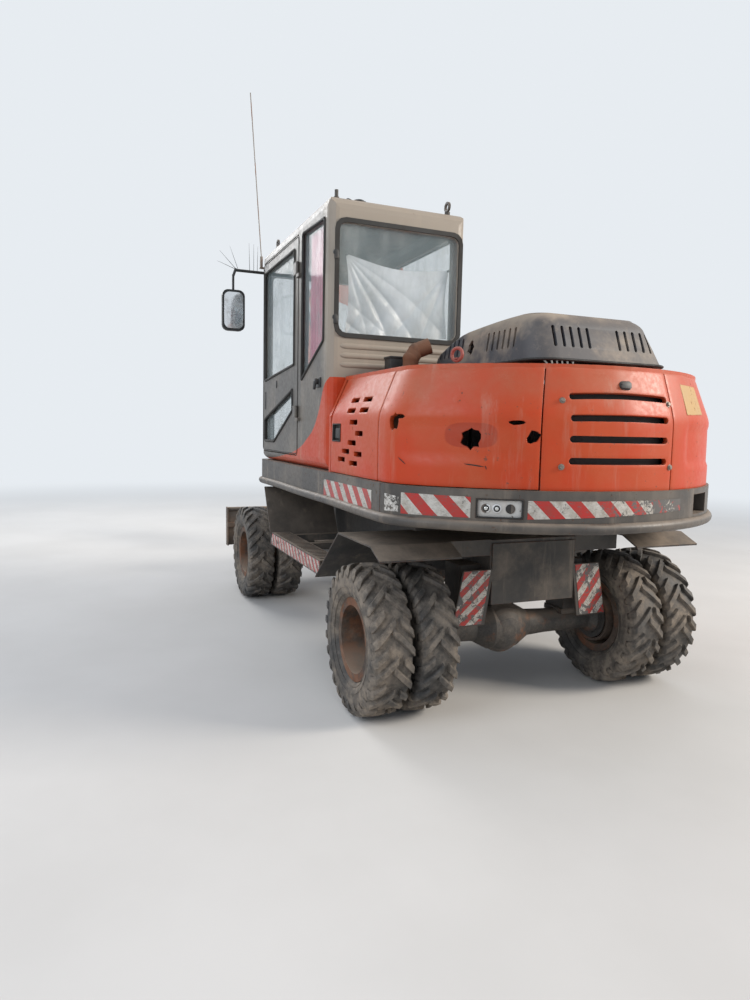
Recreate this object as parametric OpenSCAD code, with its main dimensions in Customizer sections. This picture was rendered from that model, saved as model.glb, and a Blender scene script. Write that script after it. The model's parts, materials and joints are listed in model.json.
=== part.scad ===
// Wheeled excavator of about nine tonnes on twin tyres, in millimetres.
// +X runs forward, +Y to the machine's left and +Z up.
// The origin lies on the ground under the slew axis.

/* [Wheels] */
// Tyre diameter over the lugs
tyre_d = 865; // [850:1:880]
// Width of one tyre
tyre_w = 235; // [215:1:250]
// Diameter of the bead seat on the rim
bead_d = 406; // [395:1:420]
// Outer diameter of the rim flange
flange_d = 476; // [462:1:490]
// Spacing of a twin pair, centre to centre
twin_pitch = 270; // [260:1:285]
// Number of lugs on each side of a tyre
lug_count = 26; // [22:2:30]
// Height of the lugs over the carcass
lug_h = 23; // [18:1:28]
// Machine's centre line to the middle of a twin pair
half_track = 850; // [840:1:870]

/* [Axles] */
// Distance between the two axles
wheelbase = 2960; // [2940:1:2990]
// Rear axle behind the slew axis
rear_back = 1100; // [1090:1:1120]
// Diameter of the axle tubes
tube_d = 150; // [130:1:170]
// Diameter of the spindles that carry the hubs
spindle_d = 100; // [90:1:110]
// Machine's centre line to a kingpin
kingpin_y = 520; // [515:1:530]
// Radius of the differential bowl
bowl_r = 158; // [145:1:165]
// Rear differential to the left of the middle
diff_y = 110; // [80:1:120]
// Length of a steering arm
steer_arm = 190; // [180:1:200]

/* [Chassis] */
// Half width of the main frame
frame_half_w = 450; // [430:1:470]
// Half width of the frame between the front wheels
nose_half_w = 270; // [250:1:285]
// Height of the frame's top over the ground
frame_top = 1000; // [990:1:1010]
// Depth of the main frame
frame_h = 280; // [260:1:300]
// Outer diameter of the slew ring
ring_d = 860; // [820:1:900]
// Half width over the mudguards
guard_half_w = 1080; // [1060:1:1100]
// Height of the step's tread over the ground
step_top = 760; // [745:1:775]

/* [Blade] */
// Half width of the dozer blade
blade_half_w = 1090; // [1040:1:1120]
// Height of the raised blade's lower edge
blade_low = 365; // [350:1:380]
// Height of the blade itself
blade_h = 405; // [390:1:420]
// Length of the lift links
link_len = 400; // [390:1:410]

/* [Deck] */
// Half width of the deck
deck_half_w = 1050; // [1030:1:1070]
// Underside of the deck's outer band over the ground
deck_low = 1150; // [1140:1:1160]
// Depth of the deck's outer band
deck_h = 200; // [190:1:210]
// Front edge of the deck ahead of the slew axis
deck_front = 1310; // [1290:1:1330]
// Radius of the tail's rear curve
tail_r = 1240; // [1220:1:1260]
// Centre of the tail's rear curve behind the slew axis
tail_back = 850; // [840:1:860]
// Radius of the tail's two corners
corner_r = 350; // [320:1:380]

/* [Covers] */
// Height of the covers up to their crease
crease_h = 350; // [340:1:360]
// Height of the sloping band over the crease
slope_h = 225; // [215:1:240]
// Thickness of a cover with its inner frame
cover_t = 30; // [24:1:36]
// Gap between two covers
panel_gap = 8; // [6:1:10]
// Left seam of the rear grille panel
seam_left = 480; // [460:1:500]
// Right seam of the rear grille panel, to the right of the middle
seam_right = 250; // [230:1:270]
// Half width of the engine hood
hood_half_w = 425; // [415:1:435]
// Height of the engine hood
hood_h = 262; // [250:1:275]

/* [Cab] */
// Rear face of the cab behind the slew axis
cab_back = 520; // [510:1:530]
// Front face of the cab ahead of the slew axis
cab_front = 1250; // [1240:1:1260]
// Right wall of the cab, to the left of the middle
cab_right = 95; // [92:1:100]
// Left wall of the cab
cab_left = 1045; // [1035:1:1048]
// Height of the roof over the ground
cab_top = 3070; // [3050:1:3090]
// Thickness of the cab's walls and door
wall_t = 45; // [40:1:50]
// Gap round the cab door
door_gap = 8; // [7:1:10]

/* [Boom] */
// Boom pin to arm pin, in a straight line
boom_len = 3360; // [3340:1:3380]
// Angle of that line over level, as parked
boom_angle = 30; // [29:0.5:31]
// Half width of the boom
boom_half_w = 100; // [95:1:102]
// Boom's middle plane, to the right of the machine's
boom_off = 120; // [118:1:122]
// Boom pin ahead of the slew axis
foot_x = 250; // [245:1:255]
// Height of the boom pin
foot_z = 1620; // [1615:1:1625]
// Outer diameter of a boom cylinder
boom_cyl_d = 92; // [86:1:94]

/* [Arm and bucket] */
// Arm pin to bucket pin
arm_len = 1650; // [1640:1:1660]
// Angle of the arm to the boom's straight line, as parked
arm_angle = -100; // [-101:0.5:-99]
// Half width of the arm
arm_half_w = 70; // [66:1:74]
// Width of the bucket
bucket_w = 750; // [700:1:800]
// Bucket pin to the tips of the teeth
bucket_r = 985; // [970:1:1000]
// Angle of the link lug to the arm, as parked
bucket_angle = 55; // [54:0.5:56]

/* [Hidden] */
$fn = 48;

// Fits and gaps
fit = 0.05;       // radial play of a pin or rod in its bore
clear = 6;        // least gap between two moving pieces
seat_gap = 0.3;   // gap between curved faces that only meet
pin_r = 30;       // working pins
eye_r = 48;       // eyes on the cylinders

// Paint
c_orange = [0.80, 0.24, 0.10];
c_grey = [0.34, 0.33, 0.31];
c_dark = [0.16, 0.15, 0.14];
c_rubber = [0.09, 0.09, 0.09];
c_steel = [0.55, 0.55, 0.56];
c_glass = [0.25, 0.30, 0.32, 0.5];

// Wheels and axles
axle_z = tyre_d / 2;
rear_x = -rear_back;
front_x = wheelbase - rear_back;
blade_x0 = front_x + 340;
rim_half = 85;
bead_half = 71;
hub_r = 96;
lug_half = 23;
lug_slant = 1.02;
drum_r = 165;

// Covers
deck_top = deck_low + deck_h;
tail_x = -tail_back;
corner_x = tail_x - sqrt(pow(tail_r - corner_r, 2) - pow(deck_half_w - corner_r, 2));
tail_split = corner_x - 4;
cover_in = 15;
cover_low = deck_top;
crease_z = cover_low + crease_h;
cover_top = crease_z + slope_h;
cover_slope_x = 0.951;
cover_slope_y = 0.903;
cover_front = -cab_back - 40;
door_back = corner_x + 70;
hood_back = -1850;
hood_front = -650;

// Cab
cab_low = deck_top;
door_hinge_x = 150;
door_hinge_y = cab_left + 15;
door_hinge_z = [1700, 2700];

// Cylinders
side_cyl = boom_half_w + clear + boom_cyl_d / 2;
slot_half = side_cyl + boom_cyl_d / 2 + 7;
cyl_cheek = side_cyl + boom_cyl_d / 2 + 1;
cyl_x = 680;
cyl_z = 1290;

// Arc of points in a plane
function arc(cx, cy, r, a0, a1, n) =
  [for (i = [0:n]) let (a = a0 + (a1 - a0) * i / n) [cx + r * cos(a), cy + r * sin(a)]];

// Rectangle with round corners
function round_rect(x0, x1, y0, y1, r, n = 4) = concat(
  arc(x1 - r, y0 + r, r, -90, 0, n), arc(x1 - r, y1 - r, r, 0, 90, n),
  arc(x0 + r, y1 - r, r, 90, 180, n), arc(x0 + r, y0 + r, r, 180, 270, n));

// Turns and moves a point [x, z] by an angle about the origin, then by an offset
function turned(p, a, o = [0, 0]) =
  [o[0] + p[0] * cos(a) - p[1] * sin(a), o[1] + p[0] * sin(a) + p[1] * cos(a)];

// Plan of the deck's tail, drawn in from the outside by inset
function tail_plan(inset, front) =
  let (w = deck_half_w - inset, f = corner_r - inset,
       dy = deck_half_w - corner_r, d = tail_r - corner_r,
       cx = tail_x - sqrt(d * d - dy * dy), a = atan2(dy, cx - tail_x))
  concat([[front, -w], [front, w]], arc(cx, dy, f, 90, a, 5),
    arc(tail_x, 0, tail_r - inset, a + 5, 355 - a, 18), arc(cx, -dy, f, 360 - a, 270, 5));

// Extrusions in the three planes, each between two coordinates
module xy(z0, z1) { translate([0, 0, z0]) linear_extrude(z1 - z0) children(); }
module xz(y0, y1) { translate([0, y1, 0]) rotate([90, 0, 0]) linear_extrude(y1 - y0) children(); }
module yz(x0, x1) { translate([x0, 0, 0]) rotate([90, 0, 90]) linear_extrude(x1 - x0) children(); }

// Box between two corners
module block(x0, x1, y0, y1, z0, z1) { translate([x0, y0, z0]) cube([x1 - x0, y1 - y0, z1 - z0]); }

// Cylinders along Y and X
module rod_y(x, z, y0, y1, r) { translate([x, y1, z]) rotate([90, 0, 0]) cylinder(r = r, h = y1 - y0); }
module rod_x(y, z, x0, x1, r) { translate([x0, y, z]) rotate([0, 90, 0]) cylinder(r = r, h = x1 - x0); }

// Round bar between two points
module bar(p, q, r) {
  d = q - p;
  translate(p) rotate([0, acos(d[2] / norm(d)), atan2(d[1], d[0])]) cylinder(r = r, h = norm(d));
}

// Both sides of the machine
module both() { children(); mirror([0, 1, 0]) children(); }

// Wheels

wheel_side = [["rear_left", rear_x, 1], ["rear_right", rear_x, -1],
  ["front_left", front_x, 1], ["front_right", front_x, -1]];

module at_wheel(i) { translate([wheel_side[i][1], wheel_side[i][2] * half_track, axle_z]) children(); }

// Turned body about the axle; its profile is [radius, distance outward]
module turned_body(side) { rotate([side > 0 ? -90 : 90, 0, 0]) rotate_extrude() children(); }

// Carcass with its tread drawn in by the depth of the lugs
module tyre_section(depth) {
  b = bead_d / 2 + seat_gap;
  f = flange_d / 2;
  o = tyre_d / 2 - depth;
  w = tyre_w / 2;
  in = bead_half - seat_gap - 0.2;
  half = [[b, in], [f + seat_gap, in + 8], [f + 4, 86], [f + 30, w - 6], [o - 66, w], [o - 20, w - 8],
    [o - 8, w - 30], [o, w - 70]];
  polygon(concat(half, [for (k = [len(half) - 1:-1:0]) [half[k][0], -half[k][1]]]));
}

// Slanting lug from the shoulder on one side to a place across the middle, seen as [x, y] and [y, z]
module lug(side, reach) {
  o = tyre_d / 2;
  w = tyre_w / 2;
  end = lug_slant * (w - reach);
  foot = o - lug_h - 30;
  intersection() {
    xy(foot, o) polygon([[-lug_half, side * w], [lug_half, side * w],
      [end + lug_half, side * reach], [end - lug_half, side * reach]]);
    yz(-lug_half - 1, end + lug_half + 1) polygon([[side * reach, foot], [side * reach, o - 2],
      [side * (w - 60), o - 2], [side * (w - 14), o - 14], [side * w, o - 40], [side * w, foot]]);
  }
}

module tyre() {
  turned_body(1) tyre_section(lug_h);
  for (k = [0:lug_count - 1], side = [-1, 1]) rotate([0, (k + side / 4) * 360 / lug_count, 0])
    lug(side, (k + (side + 1) / 2) % 2 == 0 ? -18 : 42);
}

module tyres(i) {
  color(c_rubber) at_wheel(i) for (s = [-1, 1]) translate([0, s * twin_pitch / 2, 0]) tyre();
}

// One rim with its dished disc; the disc meets its twin at the middle of the pair
module rim_section() {
  s = bead_d / 2;
  f = flange_d / 2;
  mate = twin_pitch / 2;
  polygon([[s - 10, rim_half], [f, rim_half], [f, bead_half + 8], [s, bead_half],
    [s, -bead_half], [f, -bead_half - 8], [f, -rim_half], [s - 10, -rim_half]]);
  polygon([[s - 5, -rim_half + 30], [s - 5, -rim_half + 16], [150, -mate], [60, -mate], [60, 12 - mate],
    [145, 12 - mate]]);
}

module rims(i) {
  side = wheel_side[i][2];
  color(c_dark) at_wheel(i) difference() {
    union() {
      translate([0, side * twin_pitch / 2, 0]) turned_body(side) rim_section();
      translate([0, -side * twin_pitch / 2, 0]) turned_body(-side) rim_section();
      turned_body(side) polygon([[0, -twin_pitch / 2 - 110], [drum_r, -twin_pitch / 2 - 110],
        [drum_r, -60], [hub_r, -40], [hub_r, 90], [72, 100], [72, 122], [0, 122]]);
    }
    turned_body(side) square_ring(0, spindle_d / 2 + fit, -half_track, 60);
    turned_body(side) square_ring(0, drum_r - 18, -half_track, -80);
  }
}

module square_ring(r0, r1, z0, z1) { translate([r0, z0]) square([r1 - r0, z1 - z0]); }

// Axles

drum_face = half_track - twin_pitch / 2 - 110;

// Tube, backing plate and spindle on one side of an axle, from a start to the hub
module axle_end(start, back_plate) {
  rotate([-90, 0, 0]) rotate_extrude() polygon([[0, start], [tube_d / 2, start],
    [tube_d / 2, back_plate - 60], [110, back_plate - 24], [110, back_plate - 8],
    [drum_r - 24, back_plate - 8], [drum_r - 24, back_plate + 6], [spindle_d / 2, back_plate + 6],
    [spindle_d / 2, half_track + 55], [0, half_track + 55]]);
}

// Differential bowl with its round cover on one side and the pinion nose on the other
module bowl(nose) {
  rotate([0, nose > 0 ? 90 : -90, 0]) rotate_extrude() polygon(concat(
    [[0, 250], [52, 250], [52, 160], [80, 120], [bowl_r - 20, 80], [bowl_r, 60], [bowl_r, -50]],
    [for (a = [10:16:90]) [(bowl_r - 14) * cos(a), -50 - 95 * sin(a)]]));
  rotate([90, 0, 0]) translate([0, 0, -330]) rotate_extrude() polygon([[0, 0], [tube_d / 2, 0],
    [tube_d / 2 + 8, 140], [bowl_r - 20, 240], [bowl_r - 20, 420], [tube_d / 2 + 8, 520],
    [tube_d / 2, 660], [0, 660]]);
}

module rear_axle() {
  color(c_dark) translate([rear_x, 0, axle_z]) union() {
    translate([0, diff_y, 0]) bowl(1);
    both() axle_end(180, drum_face - clear);
    // spring pads that the frame's feet stand on
    both() block(-90, 90, 300, 450, tube_d / 2 - 20, tube_d / 2 + 12);
  }
}

fork_z = 120;
yoke_r = 60;

module front_axle() {
  color(c_dark) translate([front_x, 0, axle_z]) difference() {
    union() {
      bowl(-1);
      both() rotate([-90, 0, 0]) cylinder(r = tube_d / 2, h = kingpin_y - 95);
      both() fork();
      // saddle of the pivot under the frame
      block(-110, 110, -150, 150, 60, pivot_low - axle_z);
      // steering cylinder behind the beam
      translate([-steer_arm, 0, 0]) rotate([90, 0, 0])
        translate([0, 0, -260]) cylinder(r = 42, h = 520);
      both() block(-steer_arm - 20, -40, 120, 170, -25, 25);
    }
    translate([-steer_arm, 0, 0]) rotate([90, 0, 0])
      translate([0, 0, -400]) cylinder(r = 20 + fit, h = 800);
  }
}

// Forked end of the front axle with its kingpin
module fork() {
  difference() {
    translate([0, kingpin_y, 0]) xy(-fork_z - 34, fork_z + 34) polygon([[-70, -130], [70, -130], [70, 0],
      [58, 28], [30, 54], [-30, 54], [-58, 28], [-70, 0]]);
    block(-80, 80, kingpin_y - 78, kingpin_y + 60, -fork_z, fork_z);
  }
  translate([0, kingpin_y, -fork_z - 20]) cylinder(r = pin_r, h = 2 * fork_z + 40);
}

module knuckle(side) {
  color(c_dark) translate([front_x, 0, axle_z]) mirror([0, side > 0 ? 0 : 1, 0]) difference() {
    union() {
      translate([0, kingpin_y, -fork_z + 1]) cylinder(r = yoke_r, h = 2 * fork_z - 2);
      axle_end(kingpin_y + 20, drum_face - clear);
      // steering arm
      translate([0, 0, -tube_d / 2]) linear_extrude(30)
        polygon([[0, kingpin_y - 45], [0, kingpin_y + 55], [-steer_arm - 20, kingpin_y + 40],
          [-steer_arm - 36, kingpin_y + 10], [-steer_arm - 20, kingpin_y - 20]]);
    }
    translate([0, kingpin_y, -fork_z]) cylinder(r = pin_r + fit, h = 2 * fork_z);
  }
}

module tie_rod() {
  color(c_steel) translate([front_x - steer_arm, 0, axle_z]) {
    rotate([90, 0, 0]) translate([0, 0, -kingpin_y]) cylinder(r = 20, h = 2 * kingpin_y);
    both() translate([0, kingpin_y, -40]) cylinder(r = 30, h = 80);
  }
}

// Chassis

frame_low = frame_top - frame_h;
pivot_low = 620;
tail_half_w = 300;
frame_plan = [[-1290, -tail_half_w], [-1290, tail_half_w], [-760, tail_half_w], [-600, frame_half_w],
  [front_x - 860, frame_half_w], [front_x - 630, nose_half_w],
  [blade_x0, nose_half_w]];

module frame_outline() {
  polygon(concat(frame_plan, [for (i = [len(frame_plan) - 1:-1:1]) [frame_plan[i][0], -frame_plan[i][1]]]));
}

blade_z0 = 370;
link_a = 25;
link_rise = 200;
pin_gap_y = 230;

module chassis_frame() {
  color(c_dark) difference() {
    union() {
      xy(frame_low, frame_top) frame_outline();
      // slew ring
      xy(frame_top, ring_top) circle(d = ring_d, $fn = 96);
      // feet over the rear axle
      both() block(rear_x - 90, rear_x + 90, 310, 440, axle_z + tube_d / 2 + 12, frame_low + 120);
      both() block(rear_x - 90, rear_x + 90, 280, 320, frame_low, frame_low + 120);
      // rear crossplate and the two splayed ears
      block(-1300, -1270, -290, 290, 620, frame_top - 20);
      both() yz(-1300, -1288) polygon([[280, 830], [478, 830], [545, 505], [330, 505]]);
      // pivot saddle over the front axle
      block(front_x - 110, front_x + 110, -150, 150, pivot_low, frame_low);
      // snout that carries the blade
      both() xz(pin_gap_y - 60, pin_gap_y - 20) polygon([[front_x + 200, frame_low],
        [front_x + 200, 520], [front_x + 300, 310],
        [blade_x0 + 50, 310], [blade_x0 + 50, frame_low + 60], [front_x + 290, frame_top]]);
      block(front_x + 200, blade_x0, 20 - pin_gap_y, pin_gap_y - 20, frame_low - 60, frame_low);
      both() rod_y(blade_x0, blade_z0, pin_gap_y - 60, pin_gap_y + 20, 28);
      rod_y(blade_x0, blade_z0 + link_rise, 60 - pin_gap_y, pin_gap_y - 60, 28);
      // lugs of the blade cylinder
      both() xz(blade_lug, blade_lug + 20) polygon([[blade_x0 - 50, frame_top - 150],
        [blade_x0 + 90, frame_top - 90], [blade_x0 + 118, frame_top - 54], [blade_x0 + 98, frame_top - 12],
        [blade_x0 + 80, frame_top], [blade_x0 - 50, frame_top]]);
      rod_y(blade_cyl[0], blade_cyl[1], -blade_lug - 20, blade_lug + 20, 22);
    }
    xy(frame_top - 40, ring_top + 1) circle(d = ring_d - 160, $fn = 96);
  }
}

ring_top = deck_low - 54;
blade_cyl = [blade_x0 + 80, frame_top - 40];
blade_cyl_d = 72;
blade_lug = blade_cyl_d / 2 + 3;

// Bent plates over the rear wheels and the step between the axles
leg_top = ring_top + 30 - 8;
guard_line = [[-1490, 953], [-1360, 1012], [-850, 1010], [-415, 660]];

module plate_strip(pts, t) {
  n = len(pts) - 1;
  polygon(concat(pts, [for (i = [n:-1:0]) pts[i] - [0, t]]));
}

module mudguards_and_steps() {
  color(c_dark) both() union() {
    xz(600, guard_half_w) plate_strip(guard_line, 10);
    // carriers from the frame
    block(-1290, -860, tail_half_w, 620, frame_top - 90, frame_top + 4);
    for (x = [-330, 300, 740]) block(x, x + 60, frame_half_w, guard_half_w - 60, step_top - 60, step_top - 10);
    // tread and striped outer face
    block(-415, 860, 900, guard_half_w - 30, step_top - 10, step_top);
    xz(guard_half_w - 38, guard_half_w - 30) polygon([[-425, step_top - 104], [-415, step_top],
      [850, step_top], [912, step_top - 70], [905, step_top - 104]]);
    // front leg up towards the deck
    xz(frame_half_w + 10, guard_half_w - 30) polygon([[890, step_top - 60], [902, step_top - 66],
      [1142, leg_top - 6], [1130, leg_top]]);
  }
}

// Transfer box and propeller shafts
box_low = 470;

module drive_line() {
  color(c_dark) union() {
    block(60, 420, -170, 170, box_low, frame_low);
    rod_x(0, box_low + 60, 420, 480, 62);
    bar([480, 0, box_low + 60], [front_x - 256, 0, axle_z], 38);
    rod_x(0, axle_z, front_x - 268, front_x - 250, 62);
    rod_x(diff_y, box_low + 60, 0, 60, 55);
    bar([0, diff_y, box_low + 60], [rear_x + 256, diff_y, axle_z], 38);
    rod_x(diff_y, axle_z, rear_x + 250, rear_x + 268, 62);
  }
}

// Blade and its lift

blade_pin = [blade_x0 + link_len * cos(link_a), blade_z0 + link_len * sin(link_a)];
blade_face = blade_x0 + 450;

module blade() {
  color(c_dark) union() {
    // hollow-ground mouldboard
    xz(-blade_half_w, blade_half_w) polygon(concat(
      arc(blade_face + 520, blade_low + blade_h / 2, 540, 158, 202, 8),
      [[blade_face + 50, blade_low], [blade_face + 24, blade_low + 12]],
      arc(blade_face + 520, blade_low + blade_h / 2, 528, 200, 160, 8)));
    both() xz(blade_half_w - 14, blade_half_w) polygon([[blade_face - 30, blade_low],
      [blade_face + 52, blade_low], [blade_face + 60, blade_low + blade_h], [blade_face - 30, blade_low + blade_h]]);
    // tube along the top and the rib behind
    rod_y(blade_face + 10, blade_low + blade_h - 22, -blade_half_w, blade_half_w, 24);
    block(blade_face - 46, blade_face - 8, -blade_half_w, blade_half_w, blade_low + 200, blade_low + 245);
    // ears for the links
    both() for (y = [pin_gap_y - 66, pin_gap_y + 22]) xz(y, y + 26)
      polygon([[blade_face - 10, blade_low + 60], [blade_face - 10, blade_low + 300],
        [blade_pin[0] - 24, blade_pin[1] + 40], [blade_pin[0] - 40, blade_pin[1]], [blade_pin[0] - 10, blade_pin[1] - 40]]);
    both() rod_y(blade_pin[0], blade_pin[1], pin_gap_y - 50, pin_gap_y + 40, 28);
    both() xz(80, 106) polygon([[blade_face - 10, blade_low + 200], [blade_face - 10, blade_low + blade_h - 10],
      [blade_pin[0] - 30, blade_pin[1] + link_rise + 34], [blade_pin[0] - 36, blade_pin[1] + link_rise - 30]]);
    rod_y(blade_pin[0], blade_pin[1] + link_rise, -94, 94, 28);
  }
}

// Flat link with an eye at both ends, between two points [x, z]
module link_plate(p, q, y0, y1, r, bore) {
  d = q - p;
  a = atan2(d[1], d[0]);
  difference() {
    union() {
      rod_y(p[0], p[1], y0, y1, r);
      rod_y(q[0], q[1], y0, y1, r);
      xz(y0, y1) polygon([turned([0, 0.8 * r], a, p), turned([0, 0.8 * r], a, q),
        turned([0, -0.8 * r], a, q), turned([0, -0.8 * r], a, p)]);
    }
    rod_y(p[0], p[1], y0 - 1, y1 + 1, bore);
    rod_y(q[0], q[1], y0 - 1, y1 + 1, bore);
  }
}

module blade_lower_links() {
  color(c_dark) union() {
    both() link_plate([blade_x0, blade_z0], blade_pin, pin_gap_y - 18, pin_gap_y + 18, 46, 28 + fit);
    m = [blade_x0, blade_z0] + 0.36 * (blade_pin - [blade_x0, blade_z0]);
    rod_y(m[0] + 10, m[1], 10 - pin_gap_y, pin_gap_y - 10, 24);
  }
}

module blade_upper_link() {
  color(c_dark) both() link_plate([blade_x0, blade_z0 + link_rise], blade_pin + [0, link_rise],
    50, 74, 42, 28 + fit);
}

blade_eye = [blade_pin[0] - 6, blade_pin[1] - 30];

// Cylinder barrel with its foot eye; the bore takes the rod
module barrel(p, q, y, reach, d, rod_r, foot_r, foot_w) {
  a = atan2(q[1] - p[1], q[0] - p[0]);
  translate([p[0], y, p[1]]) rotate([0, -a, 0]) difference() {
    union() {
      rotate([0, 90, 0]) translate([0, 0, foot_r + 18]) cylinder(d = d, h = reach - foot_r - 18);
      rotate([90, 0, 0]) translate([0, 0, -foot_w / 2]) cylinder(r = foot_r + 16, h = foot_w);
      translate([0, -foot_w / 2, -foot_r]) cube([foot_r + 30, foot_w, 2 * foot_r]);
      rotate([0, 90, 0]) translate([0, 0, reach - 46]) cylinder(d = d + 8, h = 46);
    }
    rotate([90, 0, 0]) translate([0, 0, -foot_w]) cylinder(r = foot_r + fit, h = 2 * foot_w);
    rotate([0, 90, 0]) translate([0, 0, foot_r + 40]) cylinder(r = rod_r + fit, h = reach);
  }
}

// Cylinder rod with its eye at q; length runs back from the eye into the barrel
module rod(p, q, y, length, rod_r, eye, eye_w) {
  a = atan2(p[1] - q[1], p[0] - q[0]);
  translate([q[0], y, q[1]]) rotate([0, -a, 0]) union() {
    rotate([0, 90, 0]) cylinder(r = rod_r, h = length);
    rotate([90, 0, 0]) translate([0, 0, -eye_w / 2]) cylinder(r = eye, h = eye_w);
  }
}

module blade_barrel() { color(c_dark) barrel(blade_cyl, blade_eye, 0, 475, blade_cyl_d, 22, 22, 2 * blade_lug - 2); }
module blade_rod() { color(c_steel) rod(blade_cyl, blade_eye, 0, 458, 22, 38, 56); }

// Deck

module deck_band(front) {
  polygon(concat([[tail_split + 4, -deck_half_w]], arc(front - 90, 90 - deck_half_w, 90, -90, 0, 5),
    arc(front - 90, deck_half_w - 90, 90, 0, 90, 5), [[tail_split + 4, deck_half_w]]));
}

brk_in = boom_half_w + 4;
brk_t = 22;

module deck() {
  color(c_grey) difference() {
    deck_body();
    for (i = [0:2]) hinge_pin(i, hinge_r + fit, 4);
  }
}

module deck_body() {
  union() {
    difference() {
      xy(deck_low, deck_top) deck_band(deck_front);
      // pockets between the beams, open below
      for (p = deck_pockets) block(p[0], p[1], p[2], p[3], deck_low - 1, deck_top - 14);
      // slot for the boom and its cylinders
      block(foot_x - 160, deck_front + 1, -boom_off - slot_half, slot_half - boom_off, deck_low - 1, deck_top + 1);
    }
    // ring plate over the slew ring
    xy(ring_top, deck_low + 20) difference() {
      circle(d = ring_d - 20, $fn = 96);
      circle(d = 240, $fn = 48);
    }
    block(tail_split + 24, cyl_x + 60, -boom_off - slot_half - 25, slot_half - boom_off + 25, ring_top + 30, deck_low + 20);
    // brackets of the boom and its cylinders
    for (s = [-1, 1]) translate([0, -boom_off, 0]) {
      xz(s > 0 ? brk_in : -brk_in - brk_t, s > 0 ? brk_in + brk_t : -brk_in) polygon(concat(
        [[-300, deck_low], [-300, deck_top]], arc(foot_x, foot_z, 115, 140, 10, 8),
        [[590, deck_top - 30]], arc(cyl_x, cyl_z, 42, 100, -30, 6), [[cyl_x + 36, deck_low]]));
      rod_y(cyl_x, cyl_z, s > 0 ? brk_in : -slot_half, s > 0 ? slot_half : -brk_in, pin_r);
      block(cyl_x - 90, cyl_x + 60, s > 0 ? cyl_cheek : -slot_half - 2, s > 0 ? slot_half + 2 : -cyl_cheek,
        deck_low, cyl_z + 40);
    }
    rod_y(foot_x, foot_z, -boom_off - brk_in - brk_t, brk_in + brk_t - boom_off, pin_r + 5);
    // cross plate behind the boom foot
    block(foot_x - 190, foot_x - 160, -boom_off - slot_half - 10, slot_half - boom_off + 10, deck_low, deck_top);
    // rolled lip along the lower edge
    xy(deck_low, deck_low + 44) difference() {
      polygon(concat([[tail_split + 4, -deck_half_w - 12]],
        arc(deck_front - 90, 90 - deck_half_w, 102, -90, 0, 5), arc(deck_front - 90, deck_half_w - 90, 102, 0, 90, 5),
        [[tail_split + 4, deck_half_w + 12]]));
      deck_band(deck_front - 20);
      translate([foot_x, -boom_off - slot_half]) square([deck_front + 20 - foot_x, 2 * slot_half]);
    }
  }
}

// Pockets in the deck: x from, x to, y from, y to
rim_t = 25;
slot_l = slot_half - boom_off + 25;
slot_r = -boom_off - slot_half - 25;
deck_beams = [[tail_split + 34, -950], [-925, -445], [-420, 60], [85, 640], [665, deck_front - rim_t]];
deck_pockets = [
  for (side = [[slot_l, deck_half_w - rim_t], [rim_t - deck_half_w, slot_r]], x = deck_beams)
    [x[0], x[1], side[0], side[1]]];

// Places on the tail's rear curve: way from the middle to the left, along the curve
module on_tail(way) { translate([tail_x, 0, 0]) rotate([0, 0, 180 - way / tail_r * 180 / PI]) children(); }

lamp_z = deck_low + 110;
lamp_box = [224, 94];       // width and height of the left lamps' recess
lamp_ways = [746, 694, 630];
lamp_r = 22;
bare_box = [220, 104];      // hole that a lamp has left on the right

module counterweight() {
  color(c_grey) intersection() {
    union() {
      difference() {
        xy(deck_low, deck_top) polygon(tail_plan(0, 0));
        on_tail(682) block(tail_r - 24, tail_r + 30, -lamp_box[0] / 2, lamp_box[0] / 2,
          lamp_z - lamp_box[1] / 2, lamp_z + lamp_box[1] / 2);
        on_tail(-610) block(tail_r - 150, tail_r + 30, -bare_box[0] / 2, bare_box[0] / 2,
          lamp_z + 7 - bare_box[1] / 2, lamp_z + 7 + bare_box[1] / 2);
      }
      on_tail(682) for (way = lamp_ways) rod_x(682 - way, lamp_z, tail_r - 26, tail_r - 8, lamp_r);
      xy(deck_low, deck_low + 44) polygon(tail_plan(-12, 0));
    }
    block(-3000, tail_split, -2000, 2000, 0, 4000);
  }
}

// Covers

// Shell of all the covers: an upright wall and a sloping band over it
module cover_wall(inset) {
  xy(cover_low, crease_z) polygon(tail_plan(inset, 400));
  translate([tail_x, 0, crease_z - 0.01]) linear_extrude(slope_h, scale = [cover_slope_x, cover_slope_y], slices = 1)
    translate([-tail_x, 0]) polygon(tail_plan(inset, 400));
}

module cover_shell() {
  difference() {
    cover_wall(cover_in);
    cover_wall(cover_in + cover_t);
  }
}

half_gap = panel_gap / 2;
run_gap = 3;        // doors off the deck and the top

// Piece of the shell between four planes; gap is what it stays off the deck and the top
module cover_part(x0, x1, y0, y1, gap = 0) {
  intersection() {
    cover_shell();
    block(x0, x1, y0, y1, cover_low + gap, cover_top - gap);
  }
}

// Hinge pin under a cover; its bore is in the deck
hinge_r = 3.5;
cover_y = deck_half_w - cover_in;
cover_hinges = [[door_back + half_gap, cover_y], [door_back - half_gap, cover_y], [door_back + half_gap, -cover_y]];

module hinge_pin(i, r, extra) {
  translate([cover_hinges[i][0], cover_hinges[i][1], deck_top - 14 - extra]) cylinder(r = r, h = 40 + extra);
}

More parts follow.
